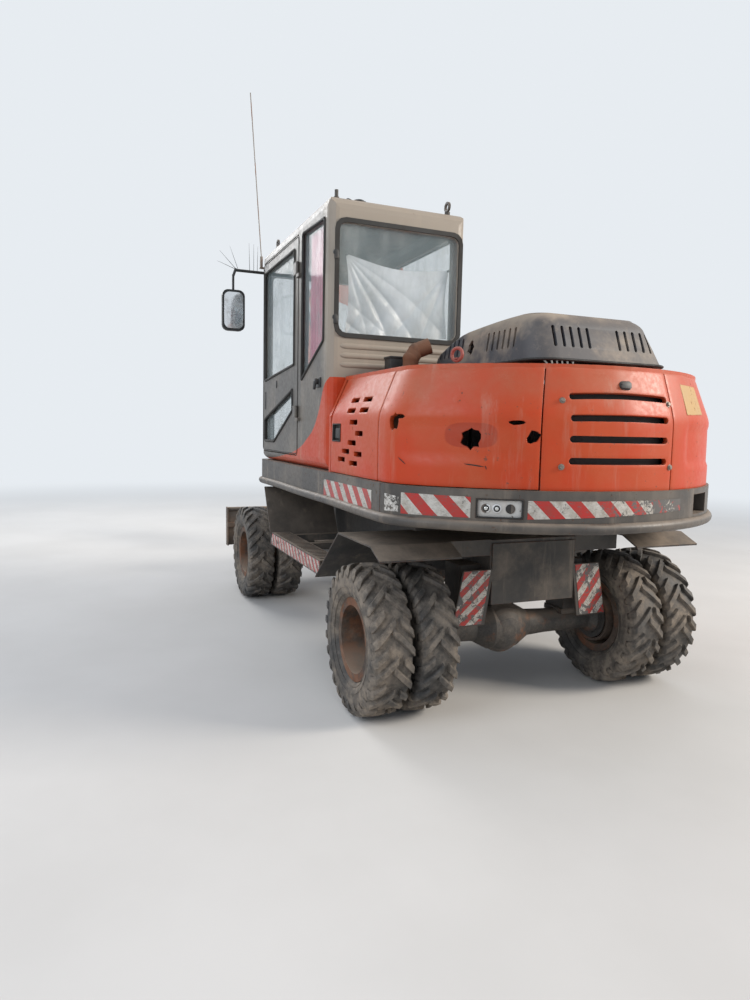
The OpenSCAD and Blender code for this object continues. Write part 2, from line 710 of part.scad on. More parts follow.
module left_service_door() {
  color(c_orange) difference() {
    union() {
      cover_part(door_back + half_gap, cover_front - 10, 600, 1200, run_gap);
      hinge_pin(0, hinge_r, 0);
    }
    for (p = door_slots) translate([p[0], 1100, p[1]]) rotate([90, 0, 0])
      linear_extrude(300) square([slot_w, slot_h], center = true);
    difference() {
      block(latch_x, latch_x + 172, cover_y - 14, cover_y + 5, latch_z, latch_z + 100);
      block(latch_x + 30, latch_x + 142, cover_y - 15, cover_y - 4, latch_z + 22, latch_z + 78);
    }
  }
}

latch_x = -768;
latch_z = cover_low + 198;

// Slots of the service door: x, z
slot_w = 84;
slot_h = 30;
door_slots = [[-880, 1788], [-1080, 1788], [-880, 1728], [-1080, 1728], [-950, 1660],
  [-1040, 1597], [-930, 1542], [-830, 1490], [-1030, 1480], [-760, 1440], [-960, 1425]];

module right_service_door() {
  color(c_orange) difference() {
    union() {
      cover_part(door_back + half_gap, cover_front - 10, -1200, -600, run_gap);
      hinge_pin(2, hinge_r, 0);
    }
    for (z = [1480:70:1760]) translate([-950, -700, z]) rotate([90, 0, 0])
      linear_extrude(400) square([420, slot_h], center = true);
  }
}

module rear_left_cover() {
  color(c_orange) union() {
    cover_part(-2200, door_back - half_gap, seam_left + half_gap, 1200, run_gap);
    hinge_pin(1, hinge_r, 0);
  }
}

module rear_right_cover() { color(c_orange) cover_part(-2200, door_back - half_gap, -1200, -seam_right - half_gap); }

module rear_grille_panel() {
  color(c_orange) difference() {
    cover_part(-2200, -1900, half_gap - seam_right, seam_left - half_gap);
    for (z = [1490, 1600, 1700, 1800]) block(-2300, -1800, -190, 370, z - 14, z + 14);
  }
}

module top_cover() {
  color(c_orange) union() {
    cover_lid();
    hood_lugs();
  }
}

module cover_lid() {
  difference() {
    intersection() {
      xy(cover_top, cover_top + 25) polygon([for (p = tail_plan(cover_in + 4, 400))
        [tail_x + (p[0] - tail_x) * cover_slope_x, p[1] * cover_slope_y]]);
      block(-3000, -cab_back - 6, -2000, 2000, 0, 4000);
    }
    xy(cover_top - 5, cover_top + 50) polygon(round_rect(hood_back + 40, hood_front - 40,
      40 - hood_half_w, hood_half_w - 40, 60));
    rod_hole(exhaust_x, exhaust_y, exhaust_r + seat_gap);
  }
}

module rod_hole(x, y, r) { translate([x, y, cover_top - 40]) cylinder(r = r, h = 120); }

module bulkhead() {
  color(c_orange) difference() {
    intersection() {
      cover_wall(cover_in);
      block(cover_front, -cab_back - 6, -2000, 2000, cover_low, cover_top);
    }
    block(cover_front - 1, -cab_back - 20, -900, 880, cover_low - 1, cover_top - 60);
  }
}

module engine_block() {
  color(c_dark) union() {
    block(-1850, -1250, -430, 430, cover_low, cover_top - 70);
    block(-1200, -1080, -420, 420, cover_low, cover_top - 120);
  }
}

exhaust_x = -800;
exhaust_y = deck_half_w - 440;
exhaust_r = 48;

module exhaust() {
  base = [exhaust_x, exhaust_y, cover_top - 90];
  bend = [exhaust_x, exhaust_y, cover_top + 130];
  turn = bend + 60 * [0, -sin(35), cos(35)];
  tip = turn + 90 * [-sin(20) * sin(68), -cos(20) * sin(68), cos(68)];
  color([0.3, 0.2, 0.15]) union() {
    translate([exhaust_x, exhaust_y, cover_top - 480]) cylinder(r = 110, h = 400);
    difference() {
      union() {
        bar(base, bend, exhaust_r);
        bar(bend, turn, exhaust_r);
        bar(turn, tip, exhaust_r);
        translate(bend) sphere(r = exhaust_r + 2);
        translate(turn) sphere(r = exhaust_r + 2);
      }
      bar(turn, tip + 0.2 * (tip - turn), exhaust_r - 5);
    }
  }
}

hood_low = cover_top + 25.4;
hood_axis = [hood_front + 4, hood_low + 10];

// Hinge lugs of the hood on the top cover, each with its pin
module hood_lugs() {
  both() {
    rod_y(hood_axis[0], hood_axis[1], 302, 311, 9);
    block(hood_axis[0] - 9, hood_axis[0] + 9, 302, 311, cover_top + 10, hood_axis[1]);
    rod_y(hood_axis[0], hood_axis[1], 260, 305, 4);
  }
}

module hood() {
  color(c_grey) difference() {
    union() {
      hood_shell();
      both() rod_y(hood_axis[0], hood_axis[1], 250, 300, 9);
    }
    both() rod_y(hood_axis[0], hood_axis[1], 249, 302, 4 + fit);
    both() rod_y(hood_axis[0], hood_axis[1], 301, 312, 14);
  }
}

// Side, section and plan of the hood, drawn in from the outside by t
function hood_side(t) = let (h = hood_low + hood_h) concat(
  [[hood_back + t, hood_low], [hood_front - t, hood_low]],
  arc(hood_front - 70, hood_low + 60, 70 - t, 0, 72, 4),
  [[hood_front - 280, h - 46 - t], [hood_front - 650, h - 12 - t]],
  arc(hood_back + 190, h - 90, 90 - t, 92, 164, 4));
function hood_section(t) = let (w = hood_half_w - 106, h = hood_low + hood_h - 70) concat(
  [[t - hood_half_w, hood_low], [hood_half_w - t, hood_low]], arc(w, h, 70 - t, 12, 90, 4),
  arc(-w, h, 70 - t, 90, 168, 4));

module hood_form(t) {
  intersection() {
    xz(-500, 500) polygon(hood_side(t));
    yz(-3000, 0) polygon(hood_section(t));
    xy(hood_low, 3000) polygon(round_rect(hood_back + t, hood_front - t, t - hood_half_w, hood_half_w - t, 130 - t));
  }
}

hood_t = 14;
louvre_w = 20;
louvre_z = [hood_low + 80, hood_low + 186];
louvre_pitch = 52;

// Slanting slot with cut corners, seen from its own side
module louvre(at, lean) {
  h = louvre_z[1] - louvre_z[0];
  c = louvre_w / 3;
  polygon([[at + c, louvre_z[0]], [at + louvre_w - c, louvre_z[0]], [at + louvre_w, louvre_z[0] + c],
    [at + louvre_w + lean, louvre_z[1] - c], [at + louvre_w + lean - c, louvre_z[1]],
    [at + lean + c, louvre_z[1]], [at + lean, louvre_z[1] - c], [at, louvre_z[0] + c]]);
}

module hood_shell() {
  difference() {
    hood_form(0);
    translate([0, 0, -hood_t]) hood_form(hood_t);
    // louvres in two groups on each side and on the rear
    for (x = [-1600, -1060], i = [0:5]) xz(-hood_half_w - 5, hood_half_w + 5) louvre(x + i * louvre_pitch, 8);
    for (y = [[-320, -16], [80, 16]], i = [0:4]) yz(hood_back - 5, hood_back + 210) louvre(y[0] + i * louvre_pitch, y[1]);
  }
}

// Tanks and tool box on the right platform
tank_in = -boom_off - slot_half - 10;

module tanks() {
  color(c_orange) for (t = [[-cab_back, 60, cover_top - 40], [66, 760, 1780], [766, 1230, 1560]])
    xy(deck_top, t[2]) polygon(round_rect(t[0], t[1], cover_in - deck_half_w, tank_in, 30, 3));
}

// Cab

roof_r = 80;
roof_fall = 20;
function roof_z(x) = cab_top - roof_fall * (cab_front - roof_r - x) / (cab_front + cab_back - 2 * roof_r);

// Solid form of the cab, drawn in from the outside by inset
module cab_form(inset) {
  intersection() {
    yz(-cab_back + inset, cab_front - inset) polygon(round_rect(cab_right + inset, cab_left - inset,
      cab_low + inset, cab_top - inset, 80));
    xz(cab_right, cab_left) polygon(concat([[-cab_back + inset, cab_low + inset], [cab_front - 40 - inset, cab_low + inset],
      [cab_front - inset, cab_low + 90]], arc(cab_front - inset - roof_r, cab_top - inset - roof_r, roof_r, 0, 90, 4),
      arc(-cab_back + inset + roof_r, cab_top - roof_fall - inset - roof_r, roof_r, 90, 180, 4)));
    xy(cab_low, cab_top) polygon(round_rect(-cab_back + inset, cab_front - inset, cab_right + inset, cab_left - inset, 60));
  }
}

module cab_walls() { difference() { cab_form(0); cab_form(wall_t); } }

// Window outlines: [x, z] on the sides, [y, z] on the front and rear
quarter_window = [[60, 1960], [60, 2950], [-420, 2930], [-420, 2180]];
door_outline = round_rect(door_hinge_x, 1225, 1420, 2975, 40, 3);
door_window = [[260, 2080], [1150, 2010], [1150, 2890], [260, 2890]];
door_low_window = [[300, 1900], [290, 1750], [830, 1510], [1140, 1510], [1140, 1690]];
right_window = round_rect(-380, 1120, 2060, 2920, 60, 3);
rear_window = round_rect(150, 985, 2220, 2890, 50, 3);
front_window = round_rect(170, 970, 2020, 2890, 50, 3);
front_low_window = round_rect(190, 950, 1480, 1960, 50, 3);

module left_cut(pts) { xz(cab_left - wall_t - 10, cab_left + 10) polygon(pts); }
module right_cut(pts) { xz(cab_right - 10, cab_right + wall_t + 10) polygon(pts); }
module rear_cut(pts) { yz(-cab_back - 10, -cab_back + wall_t + 10) polygon(pts); }
module front_cut(pts) { yz(cab_front - wall_t - 10, cab_front + 10) polygon(pts); }

module cab_shell() {
  color(c_grey) difference() {
    cab_walls();
    left_cut(door_outline);
    left_cut(quarter_window);
    right_cut(right_window);
    rear_cut(rear_window);
    front_cut(front_window);
    front_cut(front_low_window);
  }
  color(c_grey) for (z = door_hinge_z) {
    translate([door_hinge_x, door_hinge_y, z - 30]) cylinder(r = 6, h = 100);
    block(door_hinge_x - 60, door_hinge_x + 6, cab_left - 2, door_hinge_y + 8, z - 30, z - 6);
  }
}

pane_t = 6;

module cab_glass() {
  m = wall_t / 2;
  color(c_glass) {
    xz(cab_left - m, cab_left - m + pane_t) polygon(quarter_window);
    xz(cab_right + m - pane_t, cab_right + m) polygon(right_window);
    yz(-cab_back + m - pane_t, -cab_back + m) polygon(rear_window);
    yz(cab_front - m, cab_front - m + pane_t) polygon(front_window);
    yz(cab_front - m, cab_front - m + pane_t) polygon(front_low_window);
  }
}

// Black rubber round the rear and quarter windows
module window_seals() {
  color(c_rubber) {
    yz(-cab_back - 10, -cab_back) difference() {
      polygon(round_rect(122, 1013, 2192, 2918, 70, 3));
      polygon(rear_window);
    }
    yz(cab_front, cab_front + 10) difference() {
      polygon(round_rect(155, 985, 2000, 2915, 60, 3));
      polygon(front_window);
    }
  }
}

module cab_door() {
  g = door_gap;
  color(c_grey) difference() {
    union() {
      intersection() {
        cab_walls();
        xz(cab_left - wall_t, cab_left) polygon(round_rect(door_hinge_x + g, 1225 - g, 1420 + g, 2975 - g, 34, 3));
      }
      for (z = door_hinge_z) {
        translate([door_hinge_x, door_hinge_y, z]) cylinder(r = 12, h = 80);
        block(door_hinge_x, door_hinge_x + 80, cab_left - 2, door_hinge_y + 4, z, z + 80);
      }
    }
    left_cut(door_window);
    left_cut(door_low_window);
    for (z = door_hinge_z) translate([door_hinge_x, door_hinge_y, z - 1]) cylinder(r = 6 + fit, h = 90);
  }
}

module door_glass() {
  m = wall_t / 2;
  color(c_glass) {
    xz(cab_left - m, cab_left - m + pane_t) polygon(door_window);
    xz(cab_left - m, cab_left - m + pane_t) polygon(door_low_window);
  }
}

cab_mid = (cab_left + cab_right) / 2;
floor_z = cab_low + wall_t;

module seat() {
  color(c_dark) {
    block(-60, 340, cab_mid - 200, cab_mid + 200, floor_z, floor_z + 360);
    xz(cab_mid - 215, cab_mid + 215) polygon([[-130, floor_z + 360.3], [380, floor_z + 360.3], [400, floor_z + 400],
      [390, floor_z + 470], [20, floor_z + 455], [-60, floor_z + 1000], [-110, floor_z + 1020], [-150, floor_z + 980]]);
  }
}

console_y = 285;

module controls() {
  color(c_dark) {
    for (y = [-1, 1]) union() {
      block(-40, 420, cab_mid + y * console_y - 60, cab_mid + y * console_y + 60, floor_z, floor_z + 520);
      bar([340, cab_mid + y * console_y, floor_z + 515], [360, cab_mid + y * console_y, floor_z + 720], 12);
      translate([360, cab_mid + y * console_y, floor_z + 740]) sphere(r = 30);
    }
    union() {
      block(860, 1060, cab_mid - 90, cab_mid + 90, floor_z, floor_z + 60);
      bar([980, cab_mid, floor_z + 50], [820, cab_mid, floor_z + 720], 38);
      translate([820, cab_mid, floor_z + 720]) rotate([0, -14, 0]) rotate_extrude() translate([190, 0]) circle(r = 14);
      translate([820, cab_mid, floor_z + 720]) rotate([0, -14, 0]) for (a = [0, 120, 240]) rotate([0, 0, a])
        translate([0, -14, -8]) cube([192, 28, 16]);
    }
  }
}

module curtain() { color([0.75, 0.35, 0.35]) block(-400, 40, cab_left - wall_t - 16, cab_left - wall_t - 0.3, 2010, 2940); }
module rear_sheet() { color([0.85, 0.86, 0.88]) block(-cab_back + wall_t + seat_gap, -cab_back + wall_t + 20, 205, 935, 2130, 2820); }

mirror_at = [1335, 1280, 2600];
mirror_z = 2936;
fitting_y = cab_left - 85;

module left_mirror() {
  color(c_dark) union() {
    block(cab_front, cab_front + 10, fitting_y - 20, fitting_y + 20, mirror_z - 18, mirror_z + 18);
    p = [cab_front + 4, fitting_y, mirror_z];
    q = [mirror_at[0], fitting_y + 20, mirror_z];
    r = [mirror_at[0], mirror_at[1] - 30, mirror_z];
    s = [mirror_at[0], mirror_at[1], mirror_z - 50];
    bar(p, q, 13);
    bar(q - [0, 14, 0], r + [0, 14, 0], 12);
    bar(r + [0, 8, 14], s, 11);
    bar(s + [0, 0, 12], mirror_at, 10);
    translate(mirror_at) rotate([90, 0, 90]) translate([0, 0, -24]) linear_extrude(40)
      polygon(round_rect(-95, 95, -170, 170, 50));
  }
}

antenna_at = [1290, 1050];
antenna_z = 2960;
antenna_lean = 98;

module whip_antenna() {
  color(c_steel) union() {
    block(cab_front, antenna_at[0] + 14, fitting_y - 10, fitting_y + 14, antenna_z, antenna_z + 12);
    block(antenna_at[0] - 14, antenna_at[0] + 14, fitting_y - 10, antenna_at[1] + 14, antenna_z, antenna_z + 12);
    translate([antenna_at[0], antenna_at[1], antenna_z + 10]) cylinder(r = 12, h = 90);
    bar([antenna_at[0], antenna_at[1], antenna_z + 90], [antenna_at[0], antenna_at[1] + antenna_lean, antenna_z + 1400], 4);
  }
}

module roof_fittings() {
  color(c_dark) for (p = [[1080, 960, 1], [-420, 190, 1], [-380, 960, 0]])
    translate([p[0], p[1], roof_z(p[0]) + seat_gap]) union() {
      cylinder(r = 18, h = 26);
      if (p[2] == 1) translate([0, 7, 58]) rotate([90, 0, 0]) difference() {
        cylinder(r = 34, h = 14);
        translate([0, 0, -1]) cylinder(r = 20, h = 16);
      }
      else cylinder(r = 12, h = 70);
    }
}

// Working equipment; the boom's own frame has its pin at the origin and the arm pin on +X

module boom_frame() { translate([foot_x, -boom_off, foot_z]) rotate([0, -boom_angle, 0]) children(); }
module arm_frame() { boom_frame() translate([boom_len, 0, 0]) rotate([0, -arm_angle, 0]) children(); }

cyl_pin = [1420, 420];       // boom cylinder's pin on the boom
arm_base = [1500, 760];      // arm cylinder's foot on the boom
arm_cyl_d = 96;
arm_lug = arm_cyl_d / 2 + 4;
horn_r = 430;
horn_a = 172;
horn = [horn_r * cos(horn_a), horn_r * sin(horn_a)];
horn_on_boom = turned(horn, arm_angle, [boom_len, 0]);
fork_start = boom_len - 420;

module boom() {
  w = boom_half_w;
  boom_frame() color(c_orange) difference() {
    union() {
      xz(-w, w) polygon(concat(arc(0, 0, 110, 120, 270, 8), [[1420, 235], [1740, 275], [boom_len - 60, -95]],
        arc(boom_len, 0, 95, -90, 70, 6), [[2060, 560], [1760, 640], [1400, 640], [1120, 540]]));
      both() xz(arm_lug, arm_lug + 20) polygon([[1330, 600], [1440, 790], [1500, 820], [1560, 790], [1660, 600]]);
      rod_y(arm_base[0], arm_base[1], -arm_lug - 20, arm_lug + 20, pin_r - 5);
      for (s = [-1, 1]) rod_y(cyl_pin[0], cyl_pin[1], s > 0 ? w - 2 : -w - side_boss, s > 0 ? w + side_boss : 2 - w, 60);
    }
    rod_y(0, 0, -w - 1, w + 1, pin_r + 5 + fit);
    // fork for the arm
    block(fork_start, boom_len + 200, -arm_half_w - clear, arm_half_w + clear, -400, 400);
  }
  boom_frame() color(c_steel) rod_y(boom_len, 0, -w + 1, w - 1, pin_r);
}

side_boss = 18;
rod_eye_w = 2 * (side_cyl - boom_half_w - side_boss - seat_gap);
boom_foot_at = [foot_x, foot_z];
boom_pin_at = turned(cyl_pin, boom_angle, boom_foot_at);

module boom_barrels() {
  color(c_grey) for (s = [-1, 1])
    barrel([cyl_x, cyl_z], boom_pin_at, s * side_cyl - boom_off, 985, boom_cyl_d - 8, 28, pin_r, 44);
}

module boom_rods() {
  color(c_steel) for (s = [-1, 1])
    rod([cyl_x, cyl_z], boom_pin_at, s * side_cyl - boom_off, 890, 28, eye_r, rod_eye_w);
}

module arm() {
  w = arm_half_w;
  arm_frame() color(c_orange) difference() {
    union() {
      difference() {
        xz(-w, w) polygon(concat(arc(horn[0], horn[1], 62, 100, 250, 5), [[-60, -120], [420, -120]],
          arc(arm_len, 0, 60, -90, 90, 6), [[arm_len - 400, 60], [500, 170], [120, 210], [-40, 190]]));
        block(-700, horn[0] + 150, -w + 28, w - 28, -200, 300);
      }
      both() xz(bucket_lug, bucket_lug + 20) polygon([[90, 150], [140, 300], [190, 330], [250, 300], [400, 150]]);
      rod_y(bucket_foot[0], bucket_foot[1], -bucket_lug - 20, bucket_lug + 20, 22);
      rod_y(rocker_at[0], rocker_at[1], -w - 26, w + 26, 26);
      rod_y(arm_len, 0, -w - 24, w + 24, 50);
      rod_y(arm_len, 0, -ear_y - ear_t - 6, ear_y + ear_t + 6, pin_r);
    }
    rod_y(0, 0, -w - 1, w + 1, pin_r + fit);
  }
}

module arm_barrel() {
  boom_frame() color(c_grey) barrel(arm_base, horn_on_boom, 0, 1560, arm_cyl_d, 30, pin_r - 5, 2 * arm_lug - 2);
}

module arm_rod() {
  boom_frame() color(c_steel) rod(arm_base, horn_on_boom, 0, 1180, 30, eye_r, 72);
}

// Bucket and its linkage, in the arm's frame
rocker_at = [arm_len - 340, 0];
rocker_len = 240;
link_l = 340;
lug_r = 210;
rocker_y = arm_half_w + clear;      // rocker plates, then the link's, then the bucket's ears
link_y = rocker_y + 21;
ear_y = link_y + 23;
ear_t = 24;
lug_at = [arm_len, 0] + lug_r * [cos(bucket_angle), sin(bucket_angle)];
knee = let (d = lug_at - rocker_at, e = norm(d), a = (rocker_len * rocker_len - link_l * link_l + e * e) / (2 * e),
  h = sqrt(rocker_len * rocker_len - a * a)) rocker_at + a * d / e + h * [-d[1], d[0]] / e;
bucket_foot = [190, 290];
bucket_cyl_d = 84;
bucket_lug = bucket_cyl_d / 2 + 4;

module bucket_rocker() {
  w = rocker_y;
  arm_frame() color(c_grey) both() union() {
    link_plate(rocker_at, knee, w, w + 16, 44, 26 + fit);
    rod_y(knee[0], knee[1], w + 1, w + 15, 34);
    rod_y(knee[0], knee[1], w - 38, ear_y, 26);
  }
}

module bucket_link() {
  arm_frame() color(c_grey) union() {
    both() link_plate(knee, lug_at, link_y, link_y + 18, 42, 26 + fit);
    rod_y(lug_at[0], lug_at[1], -link_y - 18, link_y + 18, 30);
  }
}

module bucket_barrel() { arm_frame() color(c_grey) barrel(bucket_foot, knee, 0, 800, bucket_cyl_d, 26, 22, 2 * bucket_lug - 2); }
module bucket_rod() { arm_frame() color(c_steel) rod(bucket_foot, knee, 0, 780, 26, 42, 60); }

// Bucket in its own frame: pin at the origin, teeth straight down
lug_turn = 15;

module bucket_frame() { arm_frame() translate([arm_len, 0, 0]) rotate([0, -(bucket_angle - lug_turn), 0]) children(); }

function bucket_side(t) = concat([[-95 + t / 2, -160], [-60 + t, -124 - t]], [[300 - t, -140 - t]],
  arc(150, -480, 370 - t, 55, -70, 10), [[60, -bucket_r + 130 + t], [-20 + t, -bucket_r + 75]]);

module bucket() {
  h = bucket_w / 2;
  bucket_frame() color(c_dark) difference() {
    union() {
      difference() {
        xz(-h, h) polygon(bucket_side(0));
        xz(16 - h, h - 16) polygon(concat([[-300, -160]], bucket_side(18), [[-300, -bucket_r + 75]]));
      }
      // ears over the arm
      both() xz(ear_y, ear_y + ear_t) polygon(concat(
        [[-50, -140]], arc(0, 0, 62, 200, 100, 5), arc(lug_r * cos(lug_turn), lug_r * sin(lug_turn), 50, 100, -40, 6), [[270, -150]]));
      // heads of the link's pin
      both() rod_y(lug_r * cos(lug_turn), lug_r * sin(lug_turn), ear_y + ear_t - 1, ear_y + ear_t + 14, 36);
      // teeth
      for (i = [0:4]) translate([0, (i - 2) * (bucket_w - 70) / 4, 0]) xz(-32, 32)
        polygon([[-24, -bucket_r + 130], [-6, -bucket_r], [6, -bucket_r], [44, -bucket_r + 130]]);
    }
    rod_y(0, 0, -h, h, pin_r + fit);
  }
}

chassis_frame();
rear_axle();
front_axle();
mudguards_and_steps();
drive_line();
for (i = [0:3]) {
  tyres(i);
  rims(i);
}
knuckle(1);  // knuckle_left
knuckle(-1);  // knuckle_right
tie_rod();
blade();
blade_lower_links();
blade_upper_link();
blade_barrel();
blade_rod();
deck();
counterweight();
left_service_door();
right_service_door();
rear_left_cover();
rear_grille_panel();
rear_right_cover();
top_cover();
bulkhead();
engine_block();
exhaust();
hood();
tanks();
cab_shell();
cab_glass();
window_seals();
cab_door();
door_glass();
seat();
controls();
curtain();
rear_sheet();
left_mirror();
whip_antenna();
roof_fittings();
boom();
boom_barrels();
boom_rods();
arm();
arm_barrel();
arm_rod();
bucket();
bucket_barrel();
bucket_rod();
bucket_rocker();
bucket_link();
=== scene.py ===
"""Looks of a small wheeled excavator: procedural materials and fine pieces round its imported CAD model.

Metres, with +X forward, +Y to the machine's left and +Z up; the origin lies on the ground under the slew axis.
"""

import json
import random
from math import atan2, cos, exp, hypot, pi, radians, sin, sqrt, tan

import bmesh
import bpy
import numpy as np
from mathutils import Matrix, Vector


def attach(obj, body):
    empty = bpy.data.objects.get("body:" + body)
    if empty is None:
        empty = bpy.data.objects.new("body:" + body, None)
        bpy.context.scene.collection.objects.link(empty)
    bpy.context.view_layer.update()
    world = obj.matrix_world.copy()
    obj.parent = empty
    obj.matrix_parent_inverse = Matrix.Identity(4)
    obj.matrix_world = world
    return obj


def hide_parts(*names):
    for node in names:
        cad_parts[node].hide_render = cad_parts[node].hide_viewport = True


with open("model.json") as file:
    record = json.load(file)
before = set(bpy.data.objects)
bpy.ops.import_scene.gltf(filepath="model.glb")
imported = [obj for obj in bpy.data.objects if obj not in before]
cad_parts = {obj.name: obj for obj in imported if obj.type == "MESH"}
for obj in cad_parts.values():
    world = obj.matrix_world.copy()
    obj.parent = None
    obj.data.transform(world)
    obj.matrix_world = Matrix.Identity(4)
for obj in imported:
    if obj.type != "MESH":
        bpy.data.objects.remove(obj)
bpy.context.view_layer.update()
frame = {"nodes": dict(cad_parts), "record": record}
nodes = frame["nodes"]


# Camera: the photograph's own place and view

def make_camera():
    data = bpy.data.cameras.new("camera")
    data.lens, data.sensor_width = 24.97, 36.0
    camera = bpy.data.objects.new("camera", data)
    right, up, back = (-0.3811, -0.9243, 0.0212), (0.1011, -0.0189, 0.9948), (-0.919, 0.3812, 0.1007)
    eye = (-4.692, 2.441, 1.62)
    camera.matrix_world = Matrix((*zip(right, up, back, eye), (0, 0, 0, 1)))
    bpy.context.scene.collection.objects.link(camera)
    bpy.context.scene.camera = camera


make_camera()


# Procedural materials

class Nodes:
    """A node tree and short ways to add to it."""

    def __init__(self, owner):
        owner.use_nodes = True
        self.tree = owner.node_tree

    def put(self, socket, value):
        if isinstance(value, bpy.types.NodeSocket):
            self.tree.links.new(value, socket)
            return
        if isinstance(value, tuple) and len(value) == 3 and socket.type == "RGBA":
            value = (*value, 1.0)
        socket.default_value = value

    def node(self, kind, values=(), out=0, **settings):
        """One output of a new node, whose inputs take values in order or by name."""
        node = self.tree.nodes.new(kind)
        for key, value in settings.items():
            setattr(node, key, value)
        for key, value in values.items() if isinstance(values, dict) else enumerate(values):
            self.put(node.inputs[key], value)
        return node.outputs[out]

    def math(self, operation, *values):
        return self.node("ShaderNodeMath", values, operation=operation)

    def times(self, a, b):
        return self.math("MULTIPLY", a, b)

    def plus(self, a, b):
        return self.math("ADD", a, b)

    def most(self, a, b):
        return self.math("MAXIMUM", a, b)

    def size_of(self, a):
        return self.math("ABSOLUTE", a)


class Shader(Nodes):
    """One material and the nodes that make it."""

    def __init__(self, name):
        self.material = bpy.data.materials.new(name)
        super().__init__(self.material)
        self.shader = self.tree.nodes["Principled BSDF"]
        self.place = self.node("ShaderNodeTexCoord", out="Object")

    def scaled(self, scale):
        """The object's own coordinates, stretched by a factor on each axis."""
        return self.node("ShaderNodeMapping", {"Vector": self.place, "Scale": scale})

    def noise(self, scale, detail=3.0, rough=0.55, distortion=0.0, place=None):
        return self.node("ShaderNodeTexNoise", {"Vector": place or self.place, "Scale": scale, "Detail": detail,
                                                "Roughness": rough, "Distortion": distortion}, "Fac")

    def span(self, value, low, high, to_low=0.0, to_high=1.0, smooth=True):
        """Maps low..high to to_low..to_high, clamped."""
        return self.node("ShaderNodeMapRange", (value, low, high, to_low, to_high), "Result",
                         interpolation_type="SMOOTHSTEP" if smooth else "LINEAR")

    def mix(self, factor, a, b):
        return self.node("ShaderNodeMix", {"Factor": factor, "A": a, "B": b}, "Result", data_type="RGBA")

    def axis(self, index, of=None):
        return self.node("ShaderNodeSeparateXYZ", [of or self.place], index)

    def normal(self):
        return self.node("ShaderNodeNewGeometry", out="Normal")

    def facing_up(self):
        """0 on walls and undersides, 1 on level tops."""
        return self.span(self.axis(2, self.normal()), 0.15, 0.95)

    def rounded(self, radius):
        """The normal as if the edges had a radius."""
        return self.node("ShaderNodeBevel", {"Radius": radius}, samples=4)

    def edges(self, radius):
        """1 along convex and concave edges."""
        dot = self.node("ShaderNodeVectorMath", (self.rounded(radius), self.normal()), "Value",
                        operation="DOT_PRODUCT")
        return self.span(dot, 0.995, 0.85)

    def bump(self, height, strength, distance, radius=0.0):
        values = {"Height": height, "Strength": strength, "Distance": distance}
        if radius:
            values["Normal"] = self.rounded(radius)
        self.put(self.shader.inputs["Normal"], self.node("ShaderNodeBump", values))

    def finish(self, colour, roughness, metallic=0.0, **more):
        values = {"Base Color": colour, "Roughness": roughness, "Metallic": metallic, **more}
        for key, value in values.items():
            self.put(self.shader.inputs[key.replace("_", " ")], value)
        return self.material


DUST, RUST, PRIMER = (0.46, 0.36, 0.27), (0.16, 0.065, 0.03), (0.07, 0.06, 0.055)


def painted(name, base, faded, chips, dust, gloss, edge, bare=PRIMER, radius=0.003, extra=None):
    """Sprayed paint that has faded, worn at its edges, chipped and taken dust."""
    s = Shader(name)
    fine, speck = s.noise(38.0, 5.0, 0.7), s.noise(150.0, 2.0)
    colour = s.mix(s.span(s.noise(1.7, 4.0, 0.6), 0.38, 0.66), base, faded)
    if extra:
        colour = extra(s, colour)
    streak = s.noise(9.0, 5.0, 0.65, place=s.scaled((1.0, 1.0, 0.12)))
    colour = s.mix(s.span(streak, 0.56, 0.8, 0.0, 0.35), colour, DUST)
    chip = s.times(s.span(fine, 0.69 - 0.06 * chips, 0.72 - 0.06 * chips), s.span(s.noise(4.5, 2.0), 0.5, 0.6))
    worn = s.times(s.edges(0.006), s.span(s.noise(22.0, 4.0, 0.7), 0.62 - 0.25 * edge, 0.72 - 0.25 * edge))
    gone = s.most(chip, worn)
    colour = s.mix(gone, colour, s.mix(s.span(speck, 0.4, 0.62), bare, RUST))
    settled = s.times(s.facing_up(), s.span(s.noise(6.0, 4.0, 0.7), 0.25, 0.7, 0.45 * dust, dust))
    haze = s.span(s.noise(3.0, 6.0, 0.7), 0.45, 0.75, 0.0, 0.35 * dust)
    colour = s.mix(s.most(settled, haze), colour, DUST)
    rough = s.plus(s.span(s.plus(settled, gone), 0.0, 1.0, gloss, 0.85), s.span(fine, 0.3, 0.7, -0.06, 0.08))
    s.bump(s.math("SUBTRACT", s.times(speck, 0.08), gone), 0.35, 0.0012, radius)
    return s.finish(colour, rough, Specular_IOR_Level=0.32)


def cast(name, base, rust, dust, rough=0.62, metallic=0.25):
    """Cast or bare iron with an oily skin, rust and road dust."""
    s = Shader(name)
    grain, patch = s.noise(95.0, 4.0, 0.6), s.noise(7.0, 5.0, 0.65)
    colour = s.mix(s.span(grain, 0.35, 0.65), base, tuple(1.5 * c for c in base))
    colour = s.mix(s.span(patch, 0.62 - 0.22 * rust, 0.8 - 0.22 * rust), colour, RUST)
    haze = s.span(s.noise(2.6, 6.0, 0.72), 0.4, 0.72, 0.0, 0.55 * dust)
    settled = s.most(s.times(s.facing_up(), dust), haze)
    s.bump(s.plus(grain, s.times(patch, 2.0)), 0.35, 0.0015, 0.003)
    return s.finish(s.mix(settled, colour, DUST), s.span(settled, 0.0, 1.0, rough, 0.92), metallic)


